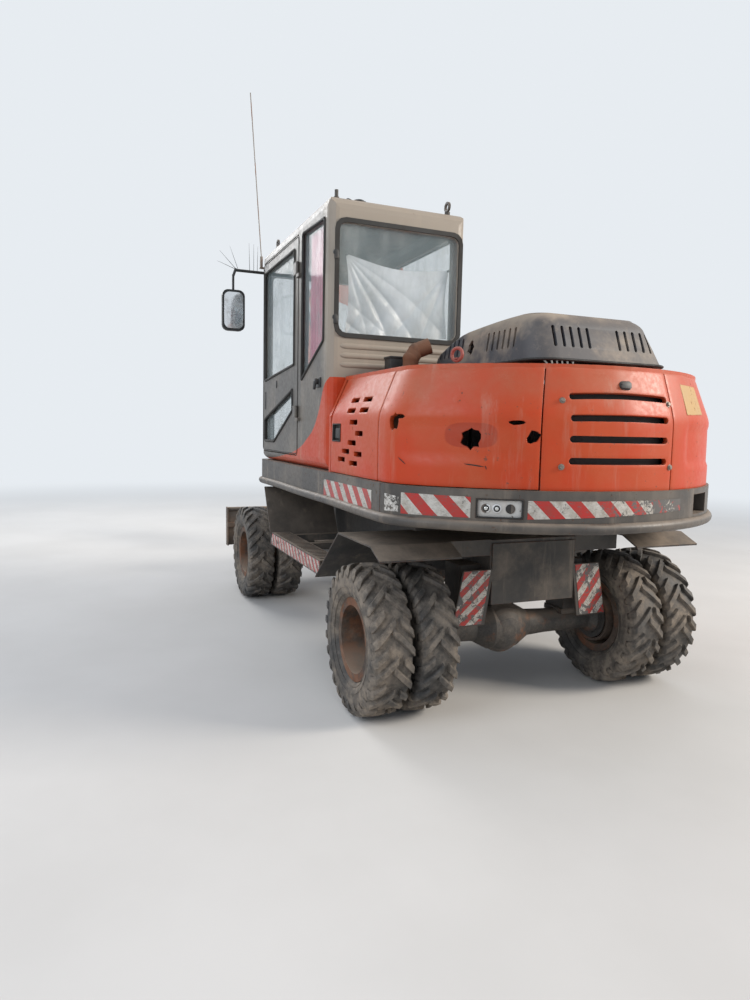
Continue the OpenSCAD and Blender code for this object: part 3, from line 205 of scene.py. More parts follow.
def rubber(name, base, dust, scuffed):
    s = Shader(name)
    scuff = s.noise(16.0, 6.0, 0.72)
    colour = s.mix(s.span(scuff, 0.4, 0.72), base, scuffed)
    amount = s.times(s.span(s.noise(3.2, 4.0, 0.65), 0.3, 0.66), s.span(scuff, 0.36, 0.64, 0.3, 1.0))
    colour = s.mix(s.times(amount, dust), colour, (0.36, 0.29, 0.22))
    s.bump(s.plus(s.noise(130.0, 3.0), s.times(scuff, 1.6)), 0.4, 0.0016, 0.002)
    return s.finish(colour, s.span(amount, 0.0, 1.0, 0.62, 0.93))


def plastic(name, base, pale, rough, amount):
    """Moulded plastic that the sun has bleached in broad patches."""
    s = Shader(name)
    cloud = s.noise(2.1, 5.0, 0.62)
    colour = s.mix(s.span(cloud, 0.6 - 0.2 * amount, 0.78 - 0.2 * amount), base, pale)
    colour = s.mix(s.span(s.noise(14.0, 6.0, 0.75), 0.52, 0.8, 0.0, 0.5 * amount), colour, DUST)
    settled = s.times(s.facing_up(), s.span(cloud, 0.2, 0.8, 0.2, 0.7))
    colour = s.mix(s.times(settled, amount), colour, DUST)
    s.bump(s.noise(60.0, 4.0, 0.7), 0.25, 0.001, 0.002)
    return s.finish(colour, s.span(s.plus(cloud, settled), 0.3, 1.4, rough, 0.9))


def polished(name, base=(0.6, 0.6, 0.6), rough=0.22):
    s = Shader(name)
    film = s.noise(11.0, 5.0, 0.7)
    colour = s.mix(s.span(film, 0.48, 0.78, 0.0, 0.7), base, (0.2, 0.16, 0.12))
    s.bump(s.noise(160.0, 2.0, place=s.scaled((1.0, 1.0, 0.05))), 0.1, 0.0004, 0.001)
    return s.finish(colour, s.span(film, 0.3, 0.8, rough, 0.6), 0.9)


def glazing(name, tint):
    """Window glass with dust in wiped streaks."""
    s = Shader(name)
    film = s.span(s.noise(5.0, 6.0, 0.7, place=s.scaled((1.0, 1.0, 0.35))), 0.35, 0.85, 0.03, 0.4)
    return s.finish(s.mix(film, tint, DUST), s.span(film, 0.0, 0.5, 0.02, 0.35),
                    Alpha=s.span(film, 0.0, 0.5, 0.16, 0.46), IOR=1.45)


def cloth(name, base, weave=420.0, rough=0.92, sheen=0.3, alpha=1.0):
    s = Shader(name)
    colour = s.mix(s.span(s.noise(5.0, 4.0, 0.6), 0.35, 0.7), base, tuple(0.72 * c for c in base))
    s.bump(s.noise(weave, 2.0), 0.3, 0.001)
    return s.finish(colour, rough, Sheen_Weight=sheen, Alpha=alpha)


def stripes(name, pitch, wear, fade=0.0):
    """Slanted red and white warning film over the UV, scratched and torn down to what lies under it."""
    s = Shader(name)
    flat = s.node("ShaderNodeTexCoord", out="UV")
    u, v = s.axis(0, flat), s.axis(1, flat)
    band = s.math("GREATER_THAN", s.math("FRACT", s.math("DIVIDE", s.plus(u, v), pitch)), 0.5)
    grime = s.noise(26.0, 6.0, 0.75)
    red = s.mix(s.span(grime, 0.35, 0.7), (0.42, 0.016, 0.012), (0.32, 0.036, 0.024))
    white = s.mix(s.span(grime, 0.36, 0.7), (0.52, 0.49, 0.44), (0.32, 0.28, 0.23))
    more = s.plus(s.times(s.span(u, -0.4, 0.4), fade), 0.12 * wear - 0.06)
    torn = s.span(s.plus(s.noise(19.0, 9.0, 0.82, 0.6), more), 0.585, 0.605)
    lines = s.noise(30.0, 4.0, 0.7, place=s.scaled((1.0, 1.0, 9.0)))
    torn = s.most(torn, s.times(s.span(lines, 0.63 - 0.05 * wear, 0.65 - 0.05 * wear), 0.8))
    s.bump(torn, 0.3, 0.0006)
    return s.finish(s.mix(torn, s.mix(band, red, white), (0.1, 0.095, 0.09)), s.span(torn, 0.0, 1.0, 0.35, 0.7))


def scrape(name, colour_a, colour_b):
    """Ragged remains of paint, clear where there is none."""
    s = Shader(name)
    colour = s.mix(s.span(s.noise(60.0, 3.0), 0.4, 0.6), colour_a, colour_b)
    return s.finish(colour, 0.6, Alpha=s.span(s.noise(28.0, 6.0, 0.75, 0.6), 0.46, 0.5))


def mesh_screen(name, dark, thread):
    """Fine woven screen."""
    s = Shader(name)
    wires = s.most(*(s.size_of(s.math("SINE", s.times(s.axis(k), 520.0))) for k in (1, 2)))
    s.bump(wires, 0.5, 0.001)
    return s.finish(s.mix(s.span(wires, 0.75, 0.95), dark, thread), 0.7)


def sun_worn(s, orange):
    """Paler and finely scratched where the covers lean in above their crease."""
    high = s.span(s.plus(s.axis(2), s.span(s.noise(4.0, 5.0), 0.3, 0.7, -0.05, 0.05)), 1.69, 1.86)
    pale = s.mix(s.span(s.noise(2.6, 6.0, 0.7), 0.35, 0.65), (0.48, 0.066, 0.022), (0.42, 0.1, 0.046))
    colour = s.mix(s.times(high, 0.75), orange, pale)
    line = s.size_of(s.math("SUBTRACT", s.noise(34.0, 6.0, 0.82, 1.6), 0.5))
    thin = s.times(s.span(line, 0.007, 0.0), s.span(s.noise(3.4, 3.0), 0.52, 0.62))
    return s.mix(s.times(thin, s.span(high, 0.0, 1.0, 0.25, 0.8)), colour, (0.52, 0.28, 0.18))


def patched(s, orange):
    """The worn paint with a darker patch round the big hole."""
    colour = sun_worn(s, orange)
    offsets = []
    for index, middle, half in ((1, 0.752, 0.098), (2, 1.604, 0.06)):
        offset = s.math("DIVIDE", s.math("SUBTRACT", s.axis(index), middle), half)
        offsets.append(s.math("POWER", s.size_of(offset), 3.0))
    inside = s.span(s.plus(*offsets), 1.15, 0.85)
    return s.mix(s.times(inside, 0.8), colour, (0.33, 0.032, 0.008))


# Cab panels are a dark grey that stands for their shaded side (painted shade), with an orange field under a curve (x,
# z) that sweeps up from the front and a rear painted paler and warmer (painted sunlight)
SWOOSH = ((1.3, 1.365), (0.6, 1.405), (0.07, 1.49), (-0.07, 1.545), (-0.21, 1.61), (-0.34, 1.74), (-0.43, 1.88),
          (-0.5, 1.945))
SWOOSH_X, SWOOSH_WIDE, SWOOSH_Z, SWOOSH_TOP, CAB_LEFT = -0.55, 1.9, 1.3, 1.945, 0.93


def swoosh_and_sunlit_rear(s, grey):
    """Orange below the curve, on the cab's left side; the rear painted paler and warmer, as painted sunlight."""
    curve = s.tree.nodes.new("ShaderNodeFloatCurve")
    s.put(curve.inputs["Value"], s.span(s.axis(0), SWOOSH_X, 1.35, smooth=False))
    points = sorted(((x - SWOOSH_X) / SWOOSH_WIDE, z - SWOOSH_Z) for x, z in SWOOSH)
    line = curve.mapping.curves[0]
    line.points[0].location = (0.0, 0.8)
    line.points[1].location = (1.0, points[-1][1])
    for x, z in points:
        line.points.new(x, z)
    curve.mapping.update()
    limit = s.math("MINIMUM", s.plus(curve.outputs[0], SWOOSH_Z), SWOOSH_TOP)
    field = s.times(s.math("LESS_THAN", s.axis(2), limit), s.math("GREATER_THAN", s.axis(1), CAB_LEFT))
    orange = s.mix(s.span(s.noise(2.4, 4.0), 0.4, 0.7), (0.48, 0.042, 0.007), (0.44, 0.066, 0.018))
    # painted sunlight: the cab's rear is painted paler and warmer than the grey sides, which stand for the shaded side
    rear = s.span(s.plus(s.axis(0), s.span(s.noise(3.0, 4.0), 0.3, 0.7, -0.05, 0.05)), -0.36, -0.52)
    return s.mix(field, s.mix(rear, grey, (0.3, 0.255, 0.205)), orange)


ORANGE, FADED = (0.5, 0.04, 0.005), (0.46, 0.062, 0.014)
FINISHES = {
    # colour, faded colour, chips, dust, roughness, worn edges, bare metal, bump's edge radius, what is added
    painted: {
        "orange_paint": (ORANGE, FADED, 0.8, 0.14, 0.4, 0.45, PRIMER, 0.003, sun_worn),
        "patched_paint": (ORANGE, FADED, 0.9, 0.14, 0.4, 0.45, PRIMER, 0.003, patched),
        "grey_paint": ((0.15, 0.14, 0.13), (0.23, 0.205, 0.175), 0.9, 0.6, 0.5, 0.9),
        # cab_paint: its dark grey is the cab's side as it looks in shade, painted shade; its paler rear is painted
        # sunlight
        "cab_paint": ((0.088, 0.081, 0.074), (0.125, 0.112, 0.096), 0.2, 0.5, 0.42, 0.3, PRIMER, 0.003,
                      swoosh_and_sunlit_rear),
        "frame_paint": ((0.04, 0.038, 0.036), (0.07, 0.062, 0.054), 0.9, 0.55, 0.55, 0.8),
        "blade_paint": ((0.075, 0.062, 0.052), (0.16, 0.1, 0.065), 1.4, 0.6, 0.62, 1.2, (0.2, 0.085, 0.04)),
        "bucket_steel": ((0.1, 0.085, 0.075), (0.18, 0.12, 0.085), 1.6, 0.7, 0.5, 1.4, (0.3, 0.28, 0.26)),
        "band_paint": ((0.058, 0.053, 0.049), (0.12, 0.102, 0.084), 1.4, 0.42, 0.45, 1.1,
                       (0.045, 0.038, 0.034), 0.0),
        "pale_enamel": ((0.6, 0.59, 0.56), (0.48, 0.45, 0.41), 0.6, 0.3, 0.35, 0.6),
        "yellow_plate": ((0.52, 0.3, 0.085), (0.46, 0.29, 0.12), 1.5, 0.5, 0.4, 0.8, (0.3, 0.13, 0.05)),
        "red_paint": ((0.36, 0.045, 0.035), (0.3, 0.08, 0.06), 0.8, 0.4, 0.5, 0.5),
    },
    # colour, rust, dust, roughness, metallic
    cast: {
        "axle_iron": ((0.035, 0.033, 0.031), 0.35, 0.4),
        "engine_iron": ((0.05, 0.05, 0.05), 0.2, 0.4),
        "rusty_pipe": ((0.075, 0.035, 0.02), 1.2, 0.15, 0.8, 0.1),
        "rim_steel": ((0.05, 0.036, 0.028), 0.9, 0.55, 0.75, 0.1),
        "old_bolt": ((0.16, 0.14, 0.12), 0.8, 0.3, 0.5, 0.5),
    },
    rubber: {
        "tyre_rubber": ((0.03, 0.029, 0.028), 0.58, (0.085, 0.08, 0.074)),
        "seal_rubber": ((0.006, 0.006, 0.006), 0.06, (0.016, 0.015, 0.014)),
    },
    plastic: {
        "black_plastic": ((0.018, 0.018, 0.018), (0.05, 0.048, 0.045), 0.42, 0.3),
        "hood_plastic": ((0.048, 0.049, 0.055), (0.26, 0.215, 0.165), 0.5, 0.75),
    },
    polished: {
        "bright_steel": (),
        "lamp_glass": ((0.62, 0.62, 0.6), 0.12),
        "mirror_glass": ((0.72, 0.74, 0.76), 0.03),
    },
    glazing: {"window_glass": ((0.4, 0.5, 0.52),)},
    cloth: {
        "seat_fabric": ((0.055, 0.055, 0.065),),
        "curtain_cloth": ((0.62, 0.12, 0.2), 300.0),
        "plastic_sheet": ((0.84, 0.85, 0.87), 40.0, 0.3, 0.0, 0.95),
    },
    stripes: {"warning_left": (0.155, 0.5, 0.16), "warning_ears": (0.115, 1.1), "warning_steps": (0.085, 0.9)},
    scrape: {"white_scrape": ((0.6, 0.57, 0.52), (0.4, 0.37, 0.33))},
    mesh_screen: {"dark_mesh": ((0.004, 0.004, 0.004), (0.055, 0.05, 0.045))},
}
material = {name: make(name, *look) for make, looks in FINISHES.items() for name, look in looks.items()}
special = {"deck": "band_paint", "counterweight": "band_paint", "cab_shell": "cab_paint", "cab_door": "cab_paint",
           "whip_antenna": "old_bolt"}
slots = {part["node"]: part["material_slot"] for part in frame["record"]["subparts"]}
for name, obj in nodes.items():
    obj.data.materials.clear()
    obj.data.materials.append(material[special.get(name, slots[name])])


# Mesh helpers: a mesh is a pair of its points and its faces

def new_object(name, verts, faces):
    """A mesh object whose faces look outward."""
    mesh = bpy.data.meshes.new(name)
    mesh.from_pydata([tuple(v) for v in verts], [], faces)
    mesh.validate()
    bm = bmesh.new()
    bm.from_mesh(mesh)
    bmesh.ops.recalc_face_normals(bm, faces=bm.faces)
    bm.to_mesh(mesh)
    bm.free()
    obj = bpy.data.objects.new(name, mesh)
    bpy.context.scene.collection.objects.link(obj)
    return obj


def shade(obj, degrees=32):
    """Smooth shading with sharp edges above an angle."""
    obj.data.shade_smooth()
    obj.data.set_sharp_from_angle(angle=radians(degrees))
    return obj


def modified(obj, kind, **settings):
    """Turns what a modifier makes into the mesh itself."""
    mod = obj.modifiers.new(kind, kind)
    for key, value in settings.items():
        setattr(mod, key, value)
    graph = bpy.context.evaluated_depsgraph_get()
    mesh = bpy.data.meshes.new_from_object(obj.evaluated_get(graph))
    obj.modifiers.clear()
    obj.data = mesh
    return obj


def bevelled(obj, width, degrees=35):
    return shade(modified(obj, "BEVEL", width=width, segments=2, limit_method="ANGLE",
                          angle_limit=radians(degrees)))


def cut(obj, mesh):
    """Takes a closed mesh out of obj."""
    cutter = new_object("cutter", *mesh)
    modified(obj, "BOOLEAN", object=cutter, operation="DIFFERENCE", solver="EXACT")
    bpy.data.objects.remove(cutter)


def piece(name, mesh, slot, paint=None, body="upper", bevel=0.0, smooth=True, replaces=()):
    """A mesh object that rides on a body and takes a slot's finish, or a paint of its own."""
    obj = new_object(name, *mesh)
    obj.data.materials.append(material[paint or slot])
    if smooth:
        shade(obj)
    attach(obj, body)
    if replaces:
        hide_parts(*replaces)
    return bevelled(obj, bevel) if bevel else obj


def grid_faces(rows, columns, close_rows=False, close_columns=False, start=0):
    """Quads over a grid of points laid out row by row."""
    faces = []
    for i in range(rows if close_rows else rows - 1):
        for j in range(columns if close_columns else columns - 1):
            k, m = (i + 1) % rows, (j + 1) % columns
            faces.append((start + i * columns + j, start + i * columns + m,
                          start + k * columns + m, start + k * columns + j))
    return faces


def shell_faces(m, n):
    """Faces of two m by n grids of points and of the rim between them."""
    rim = [*range(n)] + [i * n + n - 1 for i in range(1, m)]
    rim += [(m - 1) * n + j for j in range(n - 2, -1, -1)] + [i * n for i in range(m - 2, 0, -1)]
    return (grid_faces(m, n) + grid_faces(m, n, start=m * n)
            + [(a, b, b + m * n, a + m * n) for a, b in zip(rim, rim[1:] + rim[:1])])


def join(parts):
    """One mesh from several."""
    verts, faces = [], []
    for points, quads in parts:
        faces += [tuple(len(verts) + i for i in face) for face in quads]
        verts += [tuple(p) for p in points]
    return verts, faces


def loft(rings, caps=True):
    """Skin over rings of points that have the same count."""
    count = len(rings[0])
    verts = [tuple(p) for ring in rings for p in ring]
    faces = grid_faces(len(rings), count, close_columns=True)
    if caps:
        faces += [tuple(range(count)), tuple(range(len(verts) - count, len(verts)))]
    return verts, faces


def turns(count, closed=False):
    """Angles in equal steps round a circle."""
    return [2 * pi * k / count for k in range(count + closed)]


def tube(path, radius, sides, caps=True):
    """Round tube along points; radius is one number or one for each point."""
    path = [Vector(p) for p in path]
    radii = radius if isinstance(radius, (list, tuple)) else [radius] * len(path)
    rings, normal = [], None
    for i, point in enumerate(path):
        along = (path[min(i + 1, len(path) - 1)] - path[max(i - 1, 0)]).normalized()
        if normal is None:
            normal = along.orthogonal().normalized()
        normal = (normal - along * normal.dot(along)).normalized()
        other = along.cross(normal)
        rings.append([point + radii[i] * (cos(a) * normal + sin(a) * other) for a in turns(sides)])
    return loft(rings, caps)


def bent(path, radius, steps=5):
    """A path with its corners rounded to a radius."""
    path = [Vector(p) for p in path]
    out = [path[0]]
    for before, corner, after in zip(path, path[1:], path[2:]):
        a, b = (before - corner).normalized(), (after - corner).normalized()
        reach = min(radius / tan(a.angle(b) / 2), 0.48 * (before - corner).length, 0.48 * (after - corner).length)
        first, last = corner + a * reach, corner + b * reach
        for t in (k / steps for k in range(steps + 1)):
            out.append((1 - t) ** 2 * first + 2 * t * (1 - t) * corner + t * t * last)
    return out + [path[-1]]


def slab(outline, low, high, place):
    """A flat outline given thickness from low to high; place turns (u, v, w) into a point."""
    return loft([[place(u, v, w) for u, v in outline] for w in (low, high)])


def on_y(u, v, w):
    return (u, w, v)


def on_x(u, v, w):
    return (w, u, v)


def on_z(u, v, w):
    return (u, v, w)


def brick(x0, x1, y0, y1, z0, z1):
    return slab(((x0, y0), (x1, y0), (x1, y1), (x0, y1)), z0, z1, on_z)


def round_box(u0, u1, v0, v1, radius, steps=5):
    """Outline of a rectangle with round corners."""
    points = []
    for cu, cv, first in ((u1 - radius, v0 + radius, -90), (u1 - radius, v1 - radius, 0),
                          (u0 + radius, v1 - radius, 90), (u0 + radius, v0 + radius, 180)):
        for a in (radians(first + 90 * k / steps) for k in range(steps + 1)):
            points.append((cu + radius * cos(a), cv + radius * sin(a)))
    return points


def field(half_u, half_v, radius, steps=5):
    """round_box() round the middle."""
    return round_box(-half_u, half_u, -half_v, half_v, radius, steps)


def stadium(length, height, steps=4):
    return field(length / 2, height / 2, height / 2 * 0.98, steps)


def turned(centre, axis, profile, sides):
    """Solid round an axis through centre, from its (radius, height) pairs."""
    axis = Vector(axis).normalized()
    side = axis.orthogonal().normalized()
    other = axis.cross(side)
    return loft([[Vector(centre) + axis * h + r * (cos(a) * side + sin(a) * other) for a in turns(sides)]
                 for r, h in profile])


def hexagon(centre, axis, across, height):
    """Bolt head or nut that stands on centre along axis."""
    radius = across / 1.732
    return turned(centre, axis, ((radius, -0.001), (radius, height - 0.0015), (radius - 0.0015, height)), 6)


def disc(centre, axis, radius, low, high, sides=24):
    """Short cylinder on a point, from low to high along axis."""
    return turned(centre, axis, ((radius, low), (radius, high)), sides)


X, Y, Z = (1, 0, 0), (0, 1, 0), (0, 0, 1)


# Tyres: carcass and two rows of long and short lugs

TYRE_R, LUGS = 0.4325, 26
REAR_AXLE, FRONT_AXLE, TRACK, TWIN = -1.1, 1.86, 0.85, 0.135
TYRE_SECTION = (  # distance from the tyre's middle plane, radius
    (0.0705, 0.2036), (0.0785, 0.2384), (0.0862, 0.243), (0.102, 0.262), (0.111, 0.286), (0.116, 0.315),
    (0.1168, 0.345), (0.1135, 0.372), (0.106, 0.392), (0.09, 0.402), (0.06, 0.408), (0.03, 0.4095))


def carcass_radius(y):
    outer = sorted((a, r) for a, r in TYRE_SECTION if r > 0.35)
    return eased(abs(y), outer)


def eased(value, table):
    return float(np.interp(value, [a for a, _ in table], [b for _, b in table]))


def lug(angle, side, reach, rng):
    """One lug from the shoulder to reach, turning forward towards the middle."""
    worn = rng.uniform(0.0, 0.0022)
    # distance from the middle plane, radius of the top, half the width
    stations = [(0.1172, 0.37, 0.01), (0.1168, 0.39, 0.019), (0.112, 0.412, 0.022), (0.102, 0.423, 0.0235)]
    inner = [0.102 + (reach - 0.102) * t for t in (0.25, 0.5, 0.75, 0.93)]
    stations += [(y, TYRE_R - 0.0005 - 2.2 * max(0.0, abs(y) - 0.03) ** 2, 0.0235) for y in inner]
    stations.append((reach, 0.418, 0.014))
    rings = []
    for y, top, half in stations:
        turn = angle + 1.02 * (0.105 - max(y, -0.05)) / TYRE_R
        top -= worn
        foot = carcass_radius(y) - 0.006 if y < 0.112 else top - 0.02
        outline = ((-half - 0.006, foot), (-half, top - 0.005), (-half + 0.005, top),
                   (half - 0.005, top), (half, top - 0.005), (half + 0.006, foot))
        angles = [(turn + offset / TYRE_R, radius) for offset, radius in outline]
        rings.append([(radius * sin(a), side * y, radius * cos(a)) for a, radius in angles])
    return loft(rings)


def tyre_mesh(seed):
    rng = random.Random(seed)
    section = [*TYRE_SECTION] + [(-y, r) for y, r in reversed(TYRE_SECTION)]
    rings = [(r * sin(a), y, r * cos(a)) for a in turns(80) for y, r in section]
    parts = [(rings, grid_faces(80, len(section), True, True))]
    pitch = 2 * pi / LUGS
    for i in range(LUGS):
        reaches = (-0.018, 0.042) if i % 2 == 0 else (0.042, -0.018)
        parts.append(lug(i * pitch, 1, reaches[0], rng))
        parts.append(lug((i + 0.5) * pitch, -1, reaches[1], rng))
    # moulded rings on the sidewalls
    for side in (-1, 1):
        for radius, lift in ((0.262, 0.1035), (0.3, 0.1145)):
            ring = [(radius * sin(a), side * lift, radius * cos(a)) for a in turns(48, True)]
            parts.append(tube(ring, 0.0022, 5, False))
    return join(parts)


def make_tyres():
    spec = (("rear_left", REAR_AXLE, 1), ("rear_right", REAR_AXLE, -1), ("front_left", FRONT_AXLE, 1),
            ("front_right", FRONT_AXLE, -1))
    for number, (name, x, side) in enumerate(spec):
        for twin in (-1, 1):
            verts, faces = tyre_mesh(10 * number + twin)
            turn = Matrix.Rotation(radians(17 * number + 5 * twin), 3, "Y")
            at = Vector((x, side * TRACK + twin * TWIN, TYRE_R))
            where = "outer" if twin == side else "inner"
            tyre = piece(f"tyre_{name}_{where}", ([turn @ Vector(v) + at for v in verts], faces), "tyre_rubber",
                         body=f"wheel_{name}")
            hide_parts(f"tyres_{name}")
        # wheel nuts round the hub on the outer disc
        nuts = [hexagon((x + 0.118 * sin(a), side * 0.864, TYRE_R + 0.118 * cos(a)), (0, side, 0), 0.03, 0.026)
                for a in turns(10)]
        piece(f"nuts_{name}", join(nuts), "rim_steel", body=f"wheel_{name}", smooth=False)


make_tyres()


# Tail: a plan curve that the covers, the deck's band, the lip and the stickers share.
# s is the way along it from the middle of the rear, minus to the machine's left.

TAIL_X, TAIL_R, CORNER_R, CORNER_Y, DECK_HALF = -0.85, 1.24, 0.35, 0.7, 1.05
CORNER_X = TAIL_X - sqrt((TAIL_R - CORNER_R) ** 2 - CORNER_Y ** 2)
CORNER_A = pi - atan2(CORNER_Y, CORNER_X - TAIL_X)
DECK_TOP, CREASE_Z, SLOPE_H, COVER_TOP, TOP_R = 1.35, 1.7, 0.225, 1.951, 0.03
COVER_IN, COVER_DEEP, MESH = 0.015, 0.028, 0.022  # covers' set-back from the band, thickness, size of quads


def tail_at(s, inset):
    """Point and outward direction on the plan curve drawn in by inset."""
    side, way = (1 if s < 0 else -1), abs(s)
    big, small = TAIL_R - inset, CORNER_R - inset
    first, second = big * CORNER_A, small * (pi / 2 - CORNER_A)
    if way > first + second:
        return Vector((CORNER_X + way - first - second, side * (DECK_HALF - inset), 0)), Vector((0, side, 0))
    a = way / big if way <= first else CORNER_A + (way - first) / small
    normal = Vector((-cos(a), side * sin(a), 0))
    if way <= first:
        return Vector((TAIL_X, 0, 0)) + big * normal, normal
    return Vector((CORNER_X, side * CORNER_Y, 0)) + small * normal, normal


def s_of_x(x, side, inset=COVER_IN):
    """Way along the curve to a place x on one of the straight sides."""
    big, small = TAIL_R - inset, CORNER_R - inset
    return -side * (x - CORNER_X + big * CORNER_A + small * (pi / 2 - CORNER_A))


def cover_at(s, z, depth=0.0):
    """Point on the covers: upright to the crease, leaning in above it, rounded at the top."""
    point, normal = tail_at(s, COVER_IN)
    t = (z - CREASE_Z) / SLOPE_H
    lean = 0.5 * (t + sqrt(t * t + 0.015))
    over = max(0.0, (z - (COVER_TOP - TOP_R)) / TOP_R)
    point = point - (depth + TOP_R * (1 - sqrt(max(0.0, 1 - over * over)))) * normal
    return Vector((TAIL_X + (point.x - TAIL_X) * (1 - 0.049 * lean), point.y * (1 - 0.097 * lean), z))


def band_at(s, z, depth=0.0):
    point, normal = tail_at(s, 0.0)
    return Vector((*(point - depth * normal).xy, z))


def local_frame(surface, s, z):
    """Origin, tangent along s, tangent up and outward normal of a surface."""
    along = (surface(s + 0.01, z) - surface(s - 0.01, z)).normalized()
    up = (surface(s, z + 0.01) - surface(s, z - 0.01)).normalized()
    normal = along.cross(up).normalized()
    if normal.dot(tail_at(s, 0.0)[1]) < 0:
        normal = -normal
    return surface(s, z), along, up, normal


def through(surface, s, z, outline, low=-0.09, high=0.09):
    """Prism through a surface from an outline in (along, up)."""
    origin, along, up, normal = local_frame(surface, s, z)
    return slab(outline, low, high, lambda u, v, w: origin + u * along + v * up + w * normal)


def ragged(radius, seed, points=11, stretch=1.0):
    rng = random.Random(seed)
    return [(stretch * radius * rng.uniform(0.7, 1.12) * cos(a), radius * rng.uniform(0.7, 1.12) * sin(a))
            for a in turns(points)]


def dented(s, z):
    """Slow waves in the sheet metal, in metres inward."""
    return 0.0012 * sin(9.0 * s + 1.3) * sin(11.0 * z) + 0.001 * sin(23.0 * s + 7.0 * z)


def pressed(s, z, s0, s1, z0, z1, deep):
    """Depth of a field with round corners and soft edges pressed into a panel."""
    radius, soft = 0.06, 0.03
    from_s, from_z = min(s - s0, s1 - s), min(z - z0, z1 - z)
    corner = hypot(max(0.0, radius - from_s), max(0.0, radius - from_z))
    t = min(1.0, max(0.0, min(from_s, from_z, radius - corner) / soft))
    return deep * t * t * (3 - 2 * t)


def panel(node, s0, s1, z0, holes=(), press=None, paint=None, body=None):
    """A cover panel with its thickness, holes and pressed field."""
    columns = max(2, round(abs(s1 - s0) / MESH))
    zs = [float(z) for z in np.linspace(z0, COVER_TOP - 0.032, max(2, round((COVER_TOP - z0) / MESH)))]
    zs += [COVER_TOP - TOP_R * (1 - sin(a)) for a in (0.25, 0.55, 0.85, 1.15, 1.45)]
    places = []
    for z in zs:
        for s in (s0 + (s1 - s0) * k / columns for k in range(columns + 1)):
            places.append((s, z, dented(s, z) + (pressed(s, z, *press) if press else 0)))
    skins = [cover_at(s, z, inward + depth) for depth in (0, COVER_DEEP) for s, z, inward in places]
    obj = piece(f"{node}_skin", (skins, shell_faces(len(zs), columns + 1)), "orange_paint", paint, body or node,
                replaces=(node,))
    for hole in holes:
        cut(obj, through(cover_at, *hole))
    bevelled(obj, 0.0022, 50)


SEAM_L, SEAM_R, SEAM_GAP = -0.492, 0.258, 0.004
DOOR_BACK, DOOR_FRONT, REAR_EDGE = -1.326, -0.57, -1.334
LATCH_S, LATCH_Z = s_of_x(-0.668, 1), 1.598
RED_PATCH = (-1.205, -0.575, 1.47, 1.692, 0.0085)  # pressed fields: s, s, z, z, depth
PLATE_FIELD = (0.385, 1.205, 1.455, 1.69, 0.0095)


def make_covers():
    low = DECK_TOP + SEAM_GAP
    slots = [(s_of_x(x, 1), z, field(0.062, 0.0145, 0.007, 2)) for x, z in (
        (-0.88, 1.788), (-1.08, 1.788), (-0.88, 1.728), (-1.08, 1.728), (-0.95, 1.66), (-1.04, 1.597),
        (-0.93, 1.542), (-0.83, 1.49), (-1.03, 1.48), (-0.76, 1.44), (-0.96, 1.425))]
    latch = (LATCH_S, LATCH_Z, field(0.066, 0.05, 0.01, 3), -0.0155, 0.05)
    panel("left_service_door", s_of_x(DOOR_FRONT, 1), s_of_x(DOOR_BACK, 1), low, slots + [latch])
    louvres = [(s_of_x(-0.95, -1), z, stadium(0.42, 0.03)) for z in (1.48, 1.55, 1.62, 1.69, 1.76)]
    panel("right_service_door", s_of_x(DOOR_BACK, -1), s_of_x(DOOR_FRONT, -1), low, louvres)
    torn = [(s, z, ragged(*shape)) for s, z, shape in (
        (-1.236, 1.662, (0.046, 3, 13, 0.85)), (-1.205, 1.69, (0.014, 9, 7, 3.2)), (-0.825, 1.588, (0.053, 5, 17)),
        (-0.604, 1.668, (0.013, 8, 9, 3.6)), (-0.528, 1.6, (0.034, 11, 13)))]
    panel("rear_left_cover", s_of_x(REAR_EDGE, 1), SEAM_L - SEAM_GAP, low, torn, RED_PATCH, "patched_paint")
    grille = [(-0.07, z, stadium(0.565, 0.032)) for z in (1.804, 1.698, 1.596, 1.492)]
    panel("rear_grille_panel", SEAM_L + SEAM_GAP, SEAM_R - SEAM_GAP, DECK_TOP, grille, body="upper")
    panel("rear_right_cover", SEAM_R + SEAM_GAP, s_of_x(REAR_EDGE, -1), DECK_TOP, press=PLATE_FIELD, body="upper")


make_covers()


# Pieces that lie on the covers and the deck's band

FILM, SINK = 0.0012, 0.002  # how far a film stands out, and how far it reaches in


def with_uv(obj, flat):
    layer = obj.data.uv_layers.new(name="flat")
    for loop in obj.data.loops:
        layer.data[loop.index].uv = flat[loop.vertex_index]


def sticker(name, surface, s0, s1, low, high, paint, lift=FILM, sink=SINK, rows=6):
    """A thin film between s0 and s1; low and high are its edges at s0 and at s1. Its UV is (s, z)."""
    columns = max(2, round(abs(s1 - s0) / 0.02))
    flat = []
    for i in range(rows + 1):
        for t in (k / columns for k in range(columns + 1)):
            bottom, top = low[0] + (low[1] - low[0]) * t, high[0] + (high[1] - high[0]) * t
            flat.append((s0 + (s1 - s0) * t, bottom + (top - bottom) * i / rows))
    verts = [surface(s, z, depth) for depth in (-lift, sink) for s, z in flat]
    obj = piece(name, (verts, shell_faces(rows + 1, columns + 1)), "grey_paint", paint)
    with_uv(obj, flat + flat)


def flat_sticker(name, corners, size, paint):
    """A film on a plane between four corners of the chassis; its UV runs over its size in metres."""
    a, b, c, d = (Vector(p) for p in corners)
    normal = (b - a).cross(d - a).normalized()
    cells = [(k / 8, i / 8) for i in range(9) for k in range(9)]
    verts = [(a * (1 - u) + b * u) * (1 - v) + (d * (1 - u) + c * u) * v + normal * lift
             for lift in (FILM, -SINK) for u, v in cells]
    obj = piece(name, (verts, shell_faces(9, 9)), "frame_paint", paint, "chassis")
    with_uv(obj, [(u * size[0], v * size[1]) for u, v in cells] * 2)


